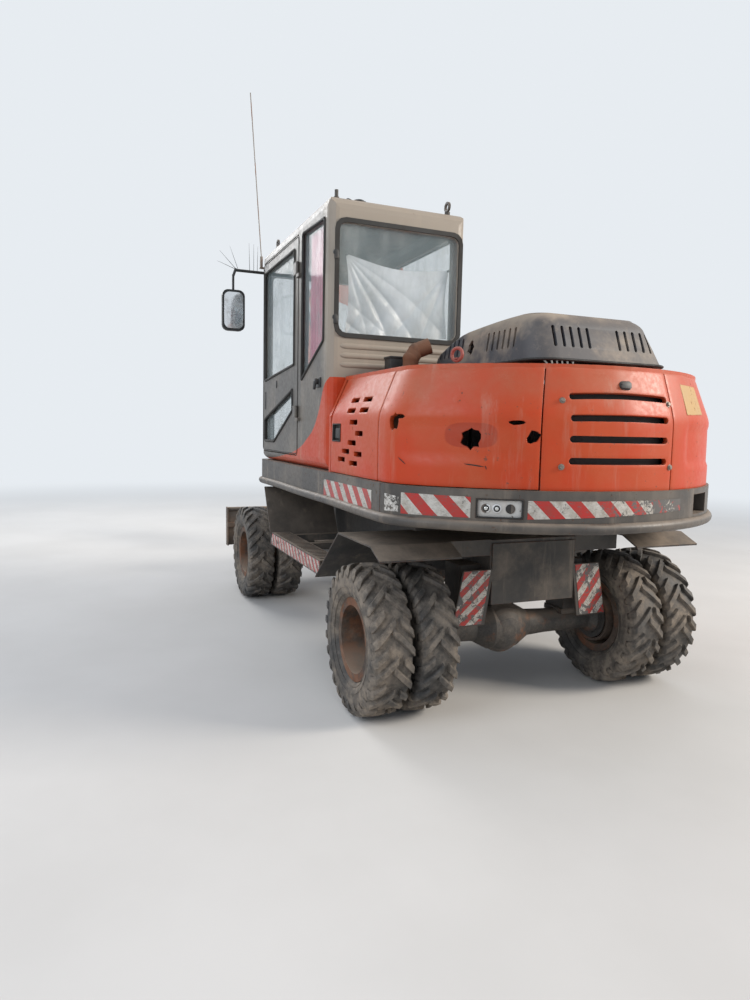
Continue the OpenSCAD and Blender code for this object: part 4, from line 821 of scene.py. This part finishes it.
def surround(surface, s, z, wide, v0, v1, u0, u1, tall, radius, high):
    """Four bars round a field: two along it, two beside it."""
    bars = ((-wide, wide, v0, v1), (-wide, wide, -v1, -v0), (-u1, -u0, -tall, tall), (u0, u1, -tall, tall))
    return [through(surface, s, z, round_box(*bar, radius, 2), -0.022, high) for bar in bars]


def make_lip():
    """Rolled lip all round the deck's lower edge, dented twice at the rear."""
    def corner(side, steps):
        return [Vector((1.22 + 0.09 * cos(a), side * (0.96 + 0.09 * sin(a)), 0))
                for a in (radians(18 * k) for k in steps)]

    def front(ys):
        return [Vector((1.31, y, 0)) for y in ys]

    length = abs(s_of_x(1.2, 1, 0.0))
    ways = [-length + 2 * length * k / 220 for k in range(221)]
    path = front((0.11, 0.5, 0.955)) + corner(1, range(1, 6)) + [tail_at(way, 0.0)[0] for way in ways]
    path += corner(-1, range(5, 0, -1)) + front((-0.955, -0.7, -0.345))
    radii, line = [], []
    for point, s in zip(path, [None] * 8 + ways + [None] * 8):
        dent = wave = 0.0
        if s is not None:
            dent = sum(exp(-((s - at) / wide) ** 2) for at, wide in ((-1.106, 0.05), (-0.166, 0.07)))
            wave = 0.0016 * sin(5.0 * s) - 0.003 * dent
        radii.append(0.0272 - 0.0016 * min(dent, 1.0))
        line.append(point + Vector((0, 0, 1.1715 + wave)))
    piece("rolled_lip", tube(line, radii, 14), "grey_paint", "band_paint")


def make_band():
    # warning stickers, worn more to the right
    for name, s0, s1, low, high in (("left_side", -2.275, -1.467, (1.196, 1.198), (1.3, 1.3)),
                                    ("left", -1.178, -0.818, (1.209, 1.212), (1.314, 1.312)),
                                    ("rear", -0.55, 0.342, (1.214, 1.246), (1.302, 1.306))):
        sticker(f"stripes_{name}", band_at, s0, s1, low, high, "warning_left")
    sticker("white_patch", band_at, -1.3, -1.195, (1.212, 1.215), (1.3, 1.292), "white_scrape", rows=4)
    # tail lamps: a white plate with two lamps and the hole of a third
    s, z = -0.682, 1.26
    plate = through(band_at, s, z, field(0.104, 0.041, 0.009), -0.021, -0.013)
    piece("lamp_plate", plate, "grey_paint", "pale_enamel", bevel=0.0015)
    bars = surround(band_at, s, z, 0.112, 0.04, 0.047, 0.103, 0.112, 0.041, 0.002, 0.001)
    piece("lamp_frame", join(bars), "grey_paint", "seal_rubber")

    def rounds(places, half, low, high):
        return [through(band_at, place, z, field(half, half, half - 0.0001, 6), low, high) for place in places]

    lamps = (-0.746, -0.694)
    holes = rounds(lamps, 0.016, -0.01, -0.005) + rounds((-0.63,), 0.0225, -0.02, -0.0068)
    piece("lamp_lenses", join(rounds(lamps, 0.009, -0.01, -0.003)), "bright_steel", "lamp_glass", bevel=0.002)
    piece("lamp_rims", join(rounds(lamps, 0.0225, -0.02, -0.0065)), "bright_steel", bevel=0.0015)
    piece("lamp_hole", join(holes), "grey_paint", "seal_rubber", bevel=0.0015)
    # wires that the lost lamp on the right has left in its box
    s, z = 0.61, 1.267
    liner = through(band_at, s, z, field(0.105, 0.048, 0.006), -0.15, -0.14)
    piece("empty_lamp_box", liner, "grey_paint", "seal_rubber")
    origin, along, up, normal = local_frame(band_at, s, z)
    wires = []
    for k, (u, v) in enumerate(((-0.05, 0.02), (-0.03, 0.03), (0.02, 0.015))):
        line = ((u, v, 0.142), (u + 0.02, v - 0.01, 0.08), (u + 0.03 - 0.02 * k, v - 0.055, 0.045))
        wires.append(tube(bent([origin + along * a + up * b - normal * c for a, b, c in line], 0.02), 0.0022, 6))
    piece("lamp_wires", join(wires), "grey_paint", "black_plastic")


def arc_table(at, start, radius, first, last, steps=6):
    """Heights and insets round an arc, for eased()."""
    angles = [radians(first + (last - first) * k / steps) for k in range(steps + 1)]
    return [(at + radius * sin(a), start - radius * cos(a)) for a in angles]


HOOD_LOW, HOOD_WALL = 1.9764, 0.012
HOOD_HEIGHTS = (0.0, 0.02, 0.045, 0.07, 0.095, 0.12, 0.145, 0.165, 0.182, 0.196, 0.208, 0.219, 0.229, 0.238,
                0.245, 0.251, 0.256)
HOOD_SIDE = [(0.0, 0.0)] + arc_table(0.182, 0.116, 0.08, 8, 90)
HOOD_REAR = [(0.0, 0.0), (0.1, 0.05)] + arc_table(0.152, 0.2, 0.11, 14, 90)
HOOD_FRONT = ([(0.0, 0.0), (0.045, 0.002)] + arc_table(0.06, 0.075, 0.07, 10, 66)
              + [(0.18, 0.18), (0.216, 0.3), (0.25, 0.66), (0.262, 1.0)])


def hood_ring(height, inset):
    rear, front, side = (eased(height, table) + inset for table in (HOOD_REAR, HOOD_FRONT, HOOD_SIDE))
    x0, x1, half = -1.85 + rear, -0.65 - front, 0.425 - side
    radius = max(min(0.135, 0.48 * (x1 - x0), 0.95 * half), 0.009)
    return [(x, y, HOOD_LOW + height - inset) for x, y in round_box(x0, max(x1, x0 + 0.02), -half, half, radius, 9)]


def leaning(u, v, height, lean):
    """Slot with round ends that leans to one side."""
    return [(u + b + lean * a, v + a) for a, b in stadium(height, 0.018, 5)]


def make_hood():
    rings = [hood_ring(h, 0.0) for h in HOOD_HEIGHTS]
    inner = [[(x, y, max(z, HOOD_LOW)) for x, y, z in hood_ring(h, HOOD_WALL)]
             for h in reversed(HOOD_HEIGHTS) if h == 0.0 or h > HOOD_WALL]
    shell = piece("hood_skin", loft(inner + rings), "hood_plastic", body="hood", replaces=("hood",))
    louvres = [slab(leaning(first + 0.052 * i, 2.109, 0.106, 0.1), -0.45, 0.45, on_y)
               for first in (-1.6, -1.06) for i in range(6)]
    louvres += [slab(leaning(first + 0.052 * i, 2.105, 0.112, -0.16), -1.9, -1.62, on_x)
                for first in (-0.32, 0.08) for i in range(5)]
    cut(shell, join(louvres))
    broken = [(-1.16 + u, 2.095 + v) for u, v in ragged(0.046, 14, 15, 0.75)]
    cut(shell, slab(broken, 0.3, 0.45, on_y))
    bevelled(shell, 0.0018, 50)
    pins = [disc((-0.646, side * 0.275, 1.9864), Y, 0.009, -0.025, 0.025, 16) for side in (-1, 1)]
    piece("hood_pins", join(pins), "hood_plastic", body="hood", replaces=("hood",))


def make_cover_fittings():
    s, z = -0.052, 1.856
    lock = [through(cover_at, s, z, ragged(0.024, 21, 16, 1.45), -0.004, 0.013),
            through(cover_at, s, z, field(0.036, 0.022, 0.0218, 6), -0.004, 0.005)]
    piece("lock_cap", join(lock), "black_plastic", bevel=0.003)
    bolts = []
    for s, z in ((-0.4, 1.776), (0.235, 1.776), (-0.392, 1.464), (0.244, 1.464)):
        origin, _, _, normal = local_frame(cover_at, s, z)
        bolts += [disc(origin, normal, 0.015, -0.002, 0.0025, 18),
                  hexagon(origin + normal * 0.002, normal, 0.019, 0.009)]
    piece("panel_bolts", join(bolts), "bright_steel", "old_bolt")
    sticker("blank_plate", cover_at, 0.404, 0.628, (1.728, 1.735), (1.884, 1.88), "yellow_plate", 0.0022)
    sticker("grille_mesh", cover_at, -0.4, 0.235, (1.44, 1.44), (1.85, 1.85), "dark_mesh", -0.052, 0.06)
    # latch of the service door in its black recess
    recess = [through(cover_at, LATCH_S, LATCH_Z, field(0.066, 0.05, 0.012), -0.0245, -0.015)]
    recess += surround(cover_at, LATCH_S, LATCH_Z, 0.071, 0.047, 0.055, 0.062, 0.073, 0.053, 0.003, 0.0045)
    piece("door_latch_frame", join(recess), "orange_paint", "seal_rubber", "left_service_door", 0.0012)
    paddle = through(cover_at, LATCH_S, 1.59, round_box(-0.044, 0.044, -0.026, 0.034, 0.008), -0.018, -0.005)
    piece("door_latch", paddle, "orange_paint", "black_plastic", "left_service_door", 0.002)
    # lifting eye beside the hood
    x, y, z, r = -1.612, 0.739, 2.0004, 0.031
    eye = [tube([(x + r * cos(a), y + 0.012 * cos(a), z + r * sin(a)) for a in turns(20, True)], 0.0088, 8, False),
           tube(((x, y, 1.9765), (x, y, 1.984)), 0.014, 10)]
    piece("lifting_eye", join(eye), "orange_paint", "red_paint")
    cracks = []
    for s, z, length, tilt, seed in ((-1.175, 1.47, 0.055, -0.6, 4), (-0.8, 1.462, 0.1, -0.12, 5),
                                     (-0.745, 1.452, 0.02, -1.3, 6)):
        rng = random.Random(seed)
        shape = [(-length / 2, 0.0)]
        shape += [(length * (t - 0.5), 0.0035 * rng.uniform(0.3, 1.0)) for t in (0.25, 0.5, 0.75)]
        shape.append((length / 2, 0.0))
        shape += [(length * (t - 0.5), -0.003 * rng.uniform(0.3, 1.0)) for t in (0.75, 0.5, 0.25)]
        shape = [(u * cos(tilt) - v * sin(tilt), u * sin(tilt) + v * cos(tilt)) for u, v in shape]
        cracks.append(through(cover_at, s, z, shape, -0.004, 0.0022))
    piece("cracks", join(cracks), "orange_paint", "seal_rubber", "rear_left_cover", smooth=False)
    path = [(x, y, 1.983) for x, y in round_box(-1.8555, -0.6445, -0.4305, 0.4305, 0.138, 8)]
    piece("hood_seal", tube(path + path[:1], 0.0068, 8, False), "hood_plastic", "seal_rubber")
    # grey clamp on the exhaust and the black box beside it
    clamp = [disc((-0.8, 0.61, 1.99), Z, 0.0535, -0.01, 0.01, 28), hexagon((-0.8, 0.668, 1.99), Y, 0.014, 0.01)]
    piece("exhaust_clamp", join(clamp), "rusty_pipe", "old_bolt", bevel=0.002)
    box = [brick(-0.7, -0.6, 0.52, 0.7, 1.9495, 2.07), brick(-0.705, -0.595, 0.515, 0.705, 2.062, 2.078)]
    piece("filter_box", join(box), "black_plastic", bevel=0.006)


make_lip()
make_band()
make_hood()
make_cover_fittings()


# Striped stickers of the chassis: the rear ears and the faces of the steps

def make_chassis_stickers():
    bars = []
    for side, name in ((1, "left"), (-1, "right")):
        order = (3, 2, 1, 0) if side > 0 else (2, 3, 0, 1)
        ear = [(-1.3002, side * y, z) for y, z in ((0.3, 0.826), (0.474, 0.826), (0.538, 0.512), (0.352, 0.512))]
        flat_sticker(f"ear_stripes_{name}", [ear[k] for k in order], (0.2, 0.32), "warning_ears")
        order = (1, 0, 3, 2) if side > 0 else (0, 1, 2, 3)
        step = [(x, side * 1.0502, z) for x, z in ((-0.405, 0.664), (0.89, 0.664), (0.85, 0.752), (-0.408, 0.752))]
        flat_sticker(f"step_stripes_{name}", [step[k] for k in order], (1.3, 0.09), "warning_steps")
    # anti-slip strips on the treads
    for y0, y1 in ((-1.03, -0.915), (0.915, 1.03)):
        bars += [brick(float(x), float(x) + 0.014, y0, y1, 0.7598, 0.764) for x in np.arange(-0.36, 0.83, 0.055)]
    piece("tread_bars", join(bars), "frame_paint", body="chassis", smooth=False)


make_chassis_stickers()


# Cab: rubbers, ribs, handle, lamps and roof fittings

CAB_SIDE, LAMP_Z = 1.0445, 2.995


def bead(outline, y=CAB_SIDE, radius=0.011):
    """A rubber bead round a side window."""
    points = [(x, y, z) for x, z in outline]
    return tube(bent(points + points[:1], 0.02, 3), radius, 8, False)


def make_cab_body():
    quarter = [(0.06, 1.96), (0.06, 2.95), (-0.42, 2.93), (-0.42, 2.18)]
    upper = [(0.26, 2.08), (1.15, 2.01), (1.15, 2.89), (0.26, 2.89)]
    lower = [(0.3, 1.9), (0.29, 1.75), (0.83, 1.51), (1.14, 1.51), (1.14, 1.69)]
    right = round_box(-0.38, 1.12, 2.06, 2.92, 0.06)
    piece("quarter_window_seal", bead(quarter), "seal_rubber")
    piece("right_window_seal", bead(right, 0.0955, 0.009), "seal_rubber")
    piece("door_window_seals", join((bead(upper), bead(lower))), "seal_rubber", body="cab_door")
    points = [(x, 1.0435, z) for x, z in round_box(0.166, 1.209, 1.436, 2.959, 0.03, 3)]
    piece("door_edge_seal", tube(points + points[:1], 0.0045, 6, False), "seal_rubber", body="cab_door")
    # pressed ribs under the rear window
    ribs = []
    for z in (2.14, 2.082, 2.024):
        rings = []
        for y, r in ((0.19, 0.002), (0.205, 0.011), (0.23, 0.014), (0.93, 0.014), (0.955, 0.011), (0.97, 0.002)):
            arc = [(-0.5195 - 0.62 * r * sin(a), y, z + 1.25 * r * cos(a)) for a in turns(16)[:9]]
            rings.append(arc + [(-0.515, y, z)])
        ribs.append(loft(rings))
    piece("rear_wall_ribs", join(ribs), "grey_paint", "cab_paint")
    stops = []
    for z in (2.704, 2.312):
        stops += [disc((-0.52, 1.008, z), (-1, 0, 0), 0.017, -0.002, 0.014, 16),
                  brick(-0.535, -0.516, 0.99, 1.016, z - 0.04, z + 0.004)]
    piece("window_stops", join(stops), "black_plastic", bevel=0.002)
    # the door's lock and slot handle, and the knob behind it
    lock = [slab([(0.765 + 0.016 * cos(a), 1.963 + 0.03 * sin(a)) for a in turns(20)], 1.04, 1.05, on_y),
            slab(round_box(1.118, 1.15, 1.772, 1.92, 0.012), 1.04, 1.0488, on_y)]
    piece("door_handles", join(lock), "black_plastic", body="cab_door", bevel=0.002)
    knob = [disc((-0.33, 1.045, 1.925), Y, 0.02, -0.003, 0.03, 16), brick(-0.375, -0.285, 1.043, 1.053, 1.886, 1.95),
            tube(((-0.33, 1.072, 1.925), (-0.33, 1.076, 1.872)), 0.01, 10)]
    piece("body_knob", join(knob), "black_plastic", bevel=0.003)


def make_cab_fittings():
    foot = (-0.361, 0.8, 3.056)
    beacon = [disc(foot, Z, 0.05, 0.0, 0.016), disc(foot, Z, 0.034, 0.015, 0.026),
              tube(bent(((-0.33, 0.8, 3.075), (-0.3, 0.86, 3.11), (-0.27, 0.88, 3.06)), 0.02), 0.0035, 6)]
    piece("beacon_base", join(beacon), "black_plastic", bevel=0.003)
    # work lamps under the roof's front edge
    lamps = [disc((1.252, y, LAMP_Z), X, 0.052, -0.004, 0.05) for y in (0.24, 0.9)]
    glass = [disc((1.252, y, LAMP_Z), X, 0.045, 0.05, 0.054) for y in (0.24, 0.9)]
    piece("work_lamps", join(lamps), "black_plastic", bevel=0.006)
    piece("work_lamp_glass", join(glass), "bright_steel", "lamp_glass")
    wiper = [tube(bent(((1.262, 0.57, 2.02), (1.268, 0.6, 2.45), (1.268, 0.66, 2.78)), 0.05), 0.006, 8),
             brick(1.2605, 1.266, 0.632, 0.645, 2.33, 2.83), disc((1.262, 0.57, 2.02), X, 0.022, -0.004, 0.018, 16)]
    piece("wiper", join(wiper), "black_plastic")
    # mirror glass, ribs on the mirror's back and the thin spikes on its arm
    glass = slab(field(0.08, 0.15, 0.045), -0.0022, 0.004, lambda u, v, w: (1.309 - w, 1.28 + u, 2.6 + v))
    piece("mirror_glass", glass, "bright_steel", "mirror_glass", bevel=0.0015)
    ribs = [tube([(1.351 + 0.006 * sin(pi * t), 1.2 + 0.16 * t, 2.6 + v) for t in (i / 8 for i in range(9))], 0.006, 8)
            for v in (-0.11 + 0.055 * k for k in range(5))]
    piece("mirror_ribs", join(ribs), "black_plastic")
    spikes = []
    for base, tip in (((1.335, 1.262, 2.945), (1.5, 1.385, 3.035)), ((1.335, 1.258, 2.947), (1.45, 1.372, 3.11)),
                      ((1.335, 1.24, 2.948), (1.38, 1.3, 3.14)), ((1.335, 1.14, 2.948), (1.335, 1.146, 3.17)),
                      ((1.335, 1.105, 2.948), (1.335, 1.106, 3.165)), ((1.335, 1.075, 2.948), (1.335, 1.07, 3.15))):
        base, tip = Vector(base), Vector(tip)
        spikes.append(tube((base, base.lerp(tip, 0.5), tip), (0.0022, 0.0018, 0.0008), 6))
    piece("mirror_spikes", join(spikes), "black_plastic")


make_cab_body()
make_cab_fittings()


# Soft pieces: plastic sheet inside the rear window, curtain, seat

SHEET_Y, PIN_Z, OTHER_PIN_Z = (0.92, 0.19), 2.715, 2.69


def ridge(angle):
    """A wave from -1 to 1 with narrow crests."""
    return 1.0 - 2.0 * abs(sin(angle)) ** 0.75


def bell(value, middle, wide):
    return exp(-((value - middle) / wide) ** 2)


def sheet_at(u, v):
    """Point of the sheet: crisp folds run out from both pins, and the lower left corner is crumpled."""
    y0, y1 = SHEET_Y
    y = y0 + (y1 - y0) * (u + 0.03 * sin(3.2 * v) * (1 - 2 * u))
    top = PIN_Z - 0.03 * u - 0.045 * sin(pi * u) ** 1.3
    bottom = 2.23 - 0.045 * sin(pi * min(1.0, 1.3 * u)) + 0.01 * sin(14.0 * u)
    z = top + (bottom - top) * v
    angle, reach = atan2(PIN_Z - z, y0 - y + 1e-4), hypot(y0 - y, PIN_Z - z)
    other, far = atan2(OTHER_PIN_Z - z, y - y1 + 1e-4), hypot(y - y1, OTHER_PIN_Z - z)
    fold = ridge(12.0 * angle + 0.6 * sin(5.0 * reach)) * min(1.0, reach / 0.2) * bell(angle, 0.9, 0.42)
    fold += 0.9 * ridge(10.0 * other + 0.9) * min(1.0, far / 0.2) * bell(other, 1.05, 0.38)
    corner = max(0.0, v - 0.45) * max(0.0, 1.0 - 1.8 * u)
    fold += 2.6 * corner * (ridge(21.0 * y + 14.0 * z) + ridge(17.0 * y - 24.0 * z + 2.0))
    fold += 0.35 * ridge(7.0 * v + 1.5 * u + 0.4) * (1 - v)
    return (-0.462 + 0.0078 * max(-1.9, min(2.2, fold)), y, z)


def curtain_at(u, v):
    wave = sin(2 * pi * 7.5 * u + 0.9 * sin(3.0 * v)) + 0.35 * sin(2 * pi * 17 * u + 2.0 * v)
    x = -0.395 + 0.43 * u + 0.01 * sin(2 * pi * 15 * u) * (0.4 + 0.6 * v)
    y = 0.9908 + (0.003 + 0.0027 * min(1.0, 2.5 * v)) * 0.8 * wave
    return (x, min(y, 0.999), 2.935 - 0.915 * v + 0.006 * sin(2 * pi * 7.5 * u))


def hung(name, point_at, columns, rows, thickness, degrees, slot, node):
    """A thin sheet over u and v from 0 to 1."""
    verts = [point_at(k / columns, i / rows) for i in range(rows + 1) for k in range(columns + 1)]
    obj = piece(name, (verts, grid_faces(rows + 1, columns + 1)), slot, replaces=(node,))
    return shade(modified(obj, "SOLIDIFY", thickness=thickness), degrees)


def make_sheets():
    """Plastic sheet pinned at two places inside the rear window, and the curtain behind the quarter window."""
    obj = hung("window_sheet", sheet_at, 90, 80, 0.0006, 60, "plastic_sheet", "rear_sheet")
    pins = [disc((-0.4735, y, z), X, 0.008, -0.002, 0.013, 12) for y, z in ((0.915, 2.712), (0.195, 2.683))]
    piece("sheet_pins", join(pins), "black_plastic")
    obj = hung("window_curtain", curtain_at, 110, 40, 0.0008, 70, "curtain_cloth", "curtain")


def cushion(name, centre, size, turn):
    """A stuffed pad: rounded box that swells between its seams."""
    bm = bmesh.new()
    bmesh.ops.create_cube(bm, size=1.0)
    bmesh.ops.subdivide_edges(bm, edges=bm.edges[:], cuts=22, use_grid_fill=True)
    phase = random.Random(len(name)).uniform(0, 6)
    for vert in bm.verts:
        p = [2 * c for c in vert.co]
        swell = [1.0 - abs(c) ** 5 for c in p]
        out = [0.5 * p[i] * size[i] * (0.9 + 0.1 * swell[(i + 1) % 3] * swell[(i + 2) % 3]) for i in range(3)]
        # quilted channels across the pad
        groove = 0.006 * cos(2 * pi * p[0] * 2.5) ** 8 if p[2] > 0.98 and abs(p[0]) < 0.85 else 0.0
        out[2] += 0.0015 * sin(17 * p[0] + phase) * sin(13 * p[1] + 2.0 * p[2]) - groove
        vert.co = Vector(out)
    bmesh.ops.smooth_vert(bm, verts=bm.verts, factor=0.5, use_axis_x=True, use_axis_y=True, use_axis_z=True)
    place = Matrix.Translation(centre) @ Matrix.Rotation(radians(turn), 4, "Y")
    mesh = [place @ v.co for v in bm.verts], [tuple(v.index for v in f.verts) for f in bm.faces]
    obj = piece(name, mesh, "seat_fabric", replaces=("seat",))
    bm.free()


def make_seat():
    y = 0.57
    cushion("seat_cushion", (0.175, y, 1.8), (0.42, 0.43, 0.095), 2.0)
    cushion("seat_back", (-0.06, y, 2.095), (0.1, 0.42, 0.57), -6.0)
    base = [brick(-0.06, 0.34, y - 0.2, y + 0.2, 1.395, 1.48)]
    for k in range(6):
        z, grow = 1.482 + 0.04 * k, 0.01 if k % 2 else 0.0
        base.append(brick(-0.045 - grow, 0.325 + grow, y - 0.185 - grow, y + 0.185 + grow, z, z + 0.038))
    base.append(brick(-0.1, 0.37, y - 0.205, y + 0.205, 1.722, 1.754))
    piece("seat_base", join(base), "seat_fabric", "black_plastic", bevel=0.006, replaces=("seat",))


make_sheets()
make_seat()


# Tanks and tool box on the right: lids with their seams, caps and latches

TANK_Y, TANK_IN = -1.035, -0.335
TANKS = ((-0.52, 0.06, 1.91), (0.066, 0.76, 1.78), (0.766, 1.23, 1.56))  # x, x, top


def make_tank_fittings():
    lids, seams, caps, latches = [], [], [], []

    def on_side(parts, x0, x1, out, z0, z1):
        parts.append(brick(x0, x1, TANK_Y - out, TANK_Y + 0.003, z0, z1))

    for x0, x1, top in TANKS:
        outline = round_box(x0 + 0.022, x1 - 0.022, TANK_Y + 0.022, TANK_IN - 0.022, 0.028)
        lids.append(slab(outline, top - 0.004, top + 0.0045, on_z))
        for z in (1.405, top - 0.05):
            on_side(seams, x0 + 0.05, x1 - 0.05, 0.0016, z, z + 0.003)
        for x in (x0 + 0.05, x1 - 0.053):
            on_side(seams, x, x + 0.003, 0.0016, 1.405, top - 0.047)
    for x0, x1, top in TANKS[1:]:
        middle = (x0 + x1) / 2
        on_side(latches, middle - 0.03, middle + 0.03, 0.007, top - 0.11, top - 0.085)
        on_side(latches, middle - 0.012, middle + 0.012, 0.01, top - 0.108, top - 0.062)
    for x, y, z in ((-0.15, -0.8, 1.914), (0.3, -0.75, 1.784)):
        caps += [disc((x, y, z), Z, 0.062, -0.004, 0.006, 32), disc((x, y, z), Z, 0.046, 0.004, 0.03, 32)]
        for u, v in ((x + 0.046 * cos(a), y + 0.046 * sin(a)) for a in turns(12)):
            caps.append(tube(((u, v, z + 0.008), (u, v, z + 0.028)), 0.0035, 6))
    piece("tank_lids", join(lids), "orange_paint", bevel=0.003)
    piece("tank_seams", join(seams), "orange_paint", "seal_rubber", smooth=False)
    piece("tank_caps", join(caps), "black_plastic", bevel=0.002)
    piece("tank_latches", join(latches), "black_plastic", bevel=0.0015)


make_tank_fittings()


# Working equipment: pipes, clamps and pin caps, in the frames of boom and arm

BOOM = Matrix.Translation((0.25, -0.12, 1.62)) @ Matrix.Rotation(radians(-30), 4, "Y")
ARM = BOOM @ Matrix.Translation((3.36, 0, 0)) @ Matrix.Rotation(radians(100), 4, "Y")


def moved(parts, turn):
    verts, faces = join(parts)
    return [turn @ Vector(v) for v in verts], faces


def make_equipment_fittings():
    # two pipes along the boom's top and their clamps, beside the arm cylinder's lugs
    line = ((0.35, 0.264), (1.12, 0.5535), (1.4, 0.653), (1.76, 0.653), (2.06, 0.5725), (2.9, 0.2755))
    pipes = [tube(bent([(x, side * 0.086, z) for x, z in line], 0.1), 0.0085, 8) for side in (-1, 1)]
    piece("boom_pipes", moved(pipes, BOOM), "grey_paint", "frame_paint", "boom")
    clamps = [brick(x - 0.018, x + 0.018, y, y + 0.023, z - 0.03, z + 0.013)
              for x, z in ((0.7, 0.3955), (1.27, 0.6065), (2.0, 0.589), (2.5, 0.417)) for y in (-0.0975, 0.0745)]
    piece("pipe_clamps", moved(clamps, BOOM), "black_plastic", body="boom", bevel=0.003)
    caps = []
    for x, z, r, y in ((1.42, 0.42, 0.04, 0.118), (1.5, 0.76, 0.028, 0.072)):
        for side in (-1, 1):
            caps += [disc((x, side * y, z), (0, side, 0), r, -0.004, 0.006),
                     hexagon((x, side * (y + 0.006), z), (0, side, 0), 0.03, 0.012)]
    piece("boom_pin_caps", moved(caps, BOOM), "bright_steel", "old_bolt", "boom", 0.0015)
    caps = [disc((x, side * y, z), (0, side, 0), r, -0.002, 0.006)
            for x, z, r, y in ((1.31, 0.0, 0.036, 0.096), (0.19, 0.29, 0.03, 0.066)) for side in (-1, 1)]
    piece("arm_pin_caps", moved(caps, ARM), "bright_steel", "old_bolt", "arm", 0.0015)


make_equipment_fittings()


# Studio: a pale floor that melts into a pale backdrop, which only camera and reflections see, and soft lamps

BACKDROP = (0.8, 0.84, 0.88)


def make_floor():
    s = Shader("floor")
    reach = s.math("SQRT", s.plus(*(s.math("POWER", s.axis(k), 2.0) for k in (0, 1))))
    far = s.span(reach, 5.0, 17.0)
    tone = s.mix(s.span(s.noise(0.8, 5.0), 0.3, 0.7), (0.6, 0.58, 0.55), (0.64, 0.62, 0.59))
    s.finish(s.mix(far, tone, (0.0, 0.0, 0.0)), 0.9, Emission_Color=BACKDROP, Emission_Strength=far,
             Specular_IOR_Level=s.span(far, 0.0, 0.3, 0.3, 0.0))
    bpy.ops.mesh.primitive_plane_add(size=400.0, location=(0, 0, 0))
    floor = bpy.context.object
    floor.name = "floor"
    floor.data.materials.append(s.material)


def make_world():
    world = bpy.data.worlds.new("studio")
    bpy.context.scene.world = world
    w = Nodes(world)
    path = w.tree.nodes.new("ShaderNodeLightPath").outputs
    seen = w.most(w.most(path["Is Camera Ray"], path["Is Glossy Ray"]), path["Is Transmission Ray"])
    fill = w.tree.nodes["Background"]
    w.put(fill.inputs["Color"], (0.62, 0.68, 0.78))
    w.put(fill.inputs["Strength"], 0.75)
    pale = w.node("ShaderNodeBackground", {"Color": BACKDROP})
    choose = w.node("ShaderNodeMixShader", (seen, fill.outputs[0], pale))
    w.put(w.tree.nodes["World Output"].inputs["Surface"], choose)


def make_lamp(name, place, target, size, power, colour=(1, 1, 1)):
    data = bpy.data.lights.new(name, "AREA")
    data.shape = "SQUARE"
    data.size, data.energy, data.color = size, power, colour
    lamp = bpy.data.objects.new(name, data)
    lamp.location = place
    lamp.rotation_euler = (Vector(target) - Vector(place)).to_track_quat("-Z", "Y").to_euler()
    bpy.context.scene.collection.objects.link(lamp)


make_floor()
make_world()
make_lamp("key", (-7.0, -9.0, 6.5), (0, 0, 1.4), 4.0, 1500, (1.0, 0.93, 0.84))
make_lamp("fill", (-4.0, 9.0, 6.0), (0, 0, 1.4), 6.0, 420, (0.86, 0.92, 1.0))
make_lamp("front", (9.0, 3.0, 7.0), (1, 0, 1.4), 5.0, 500)
bpy.context.scene.view_settings.view_transform = "Standard"
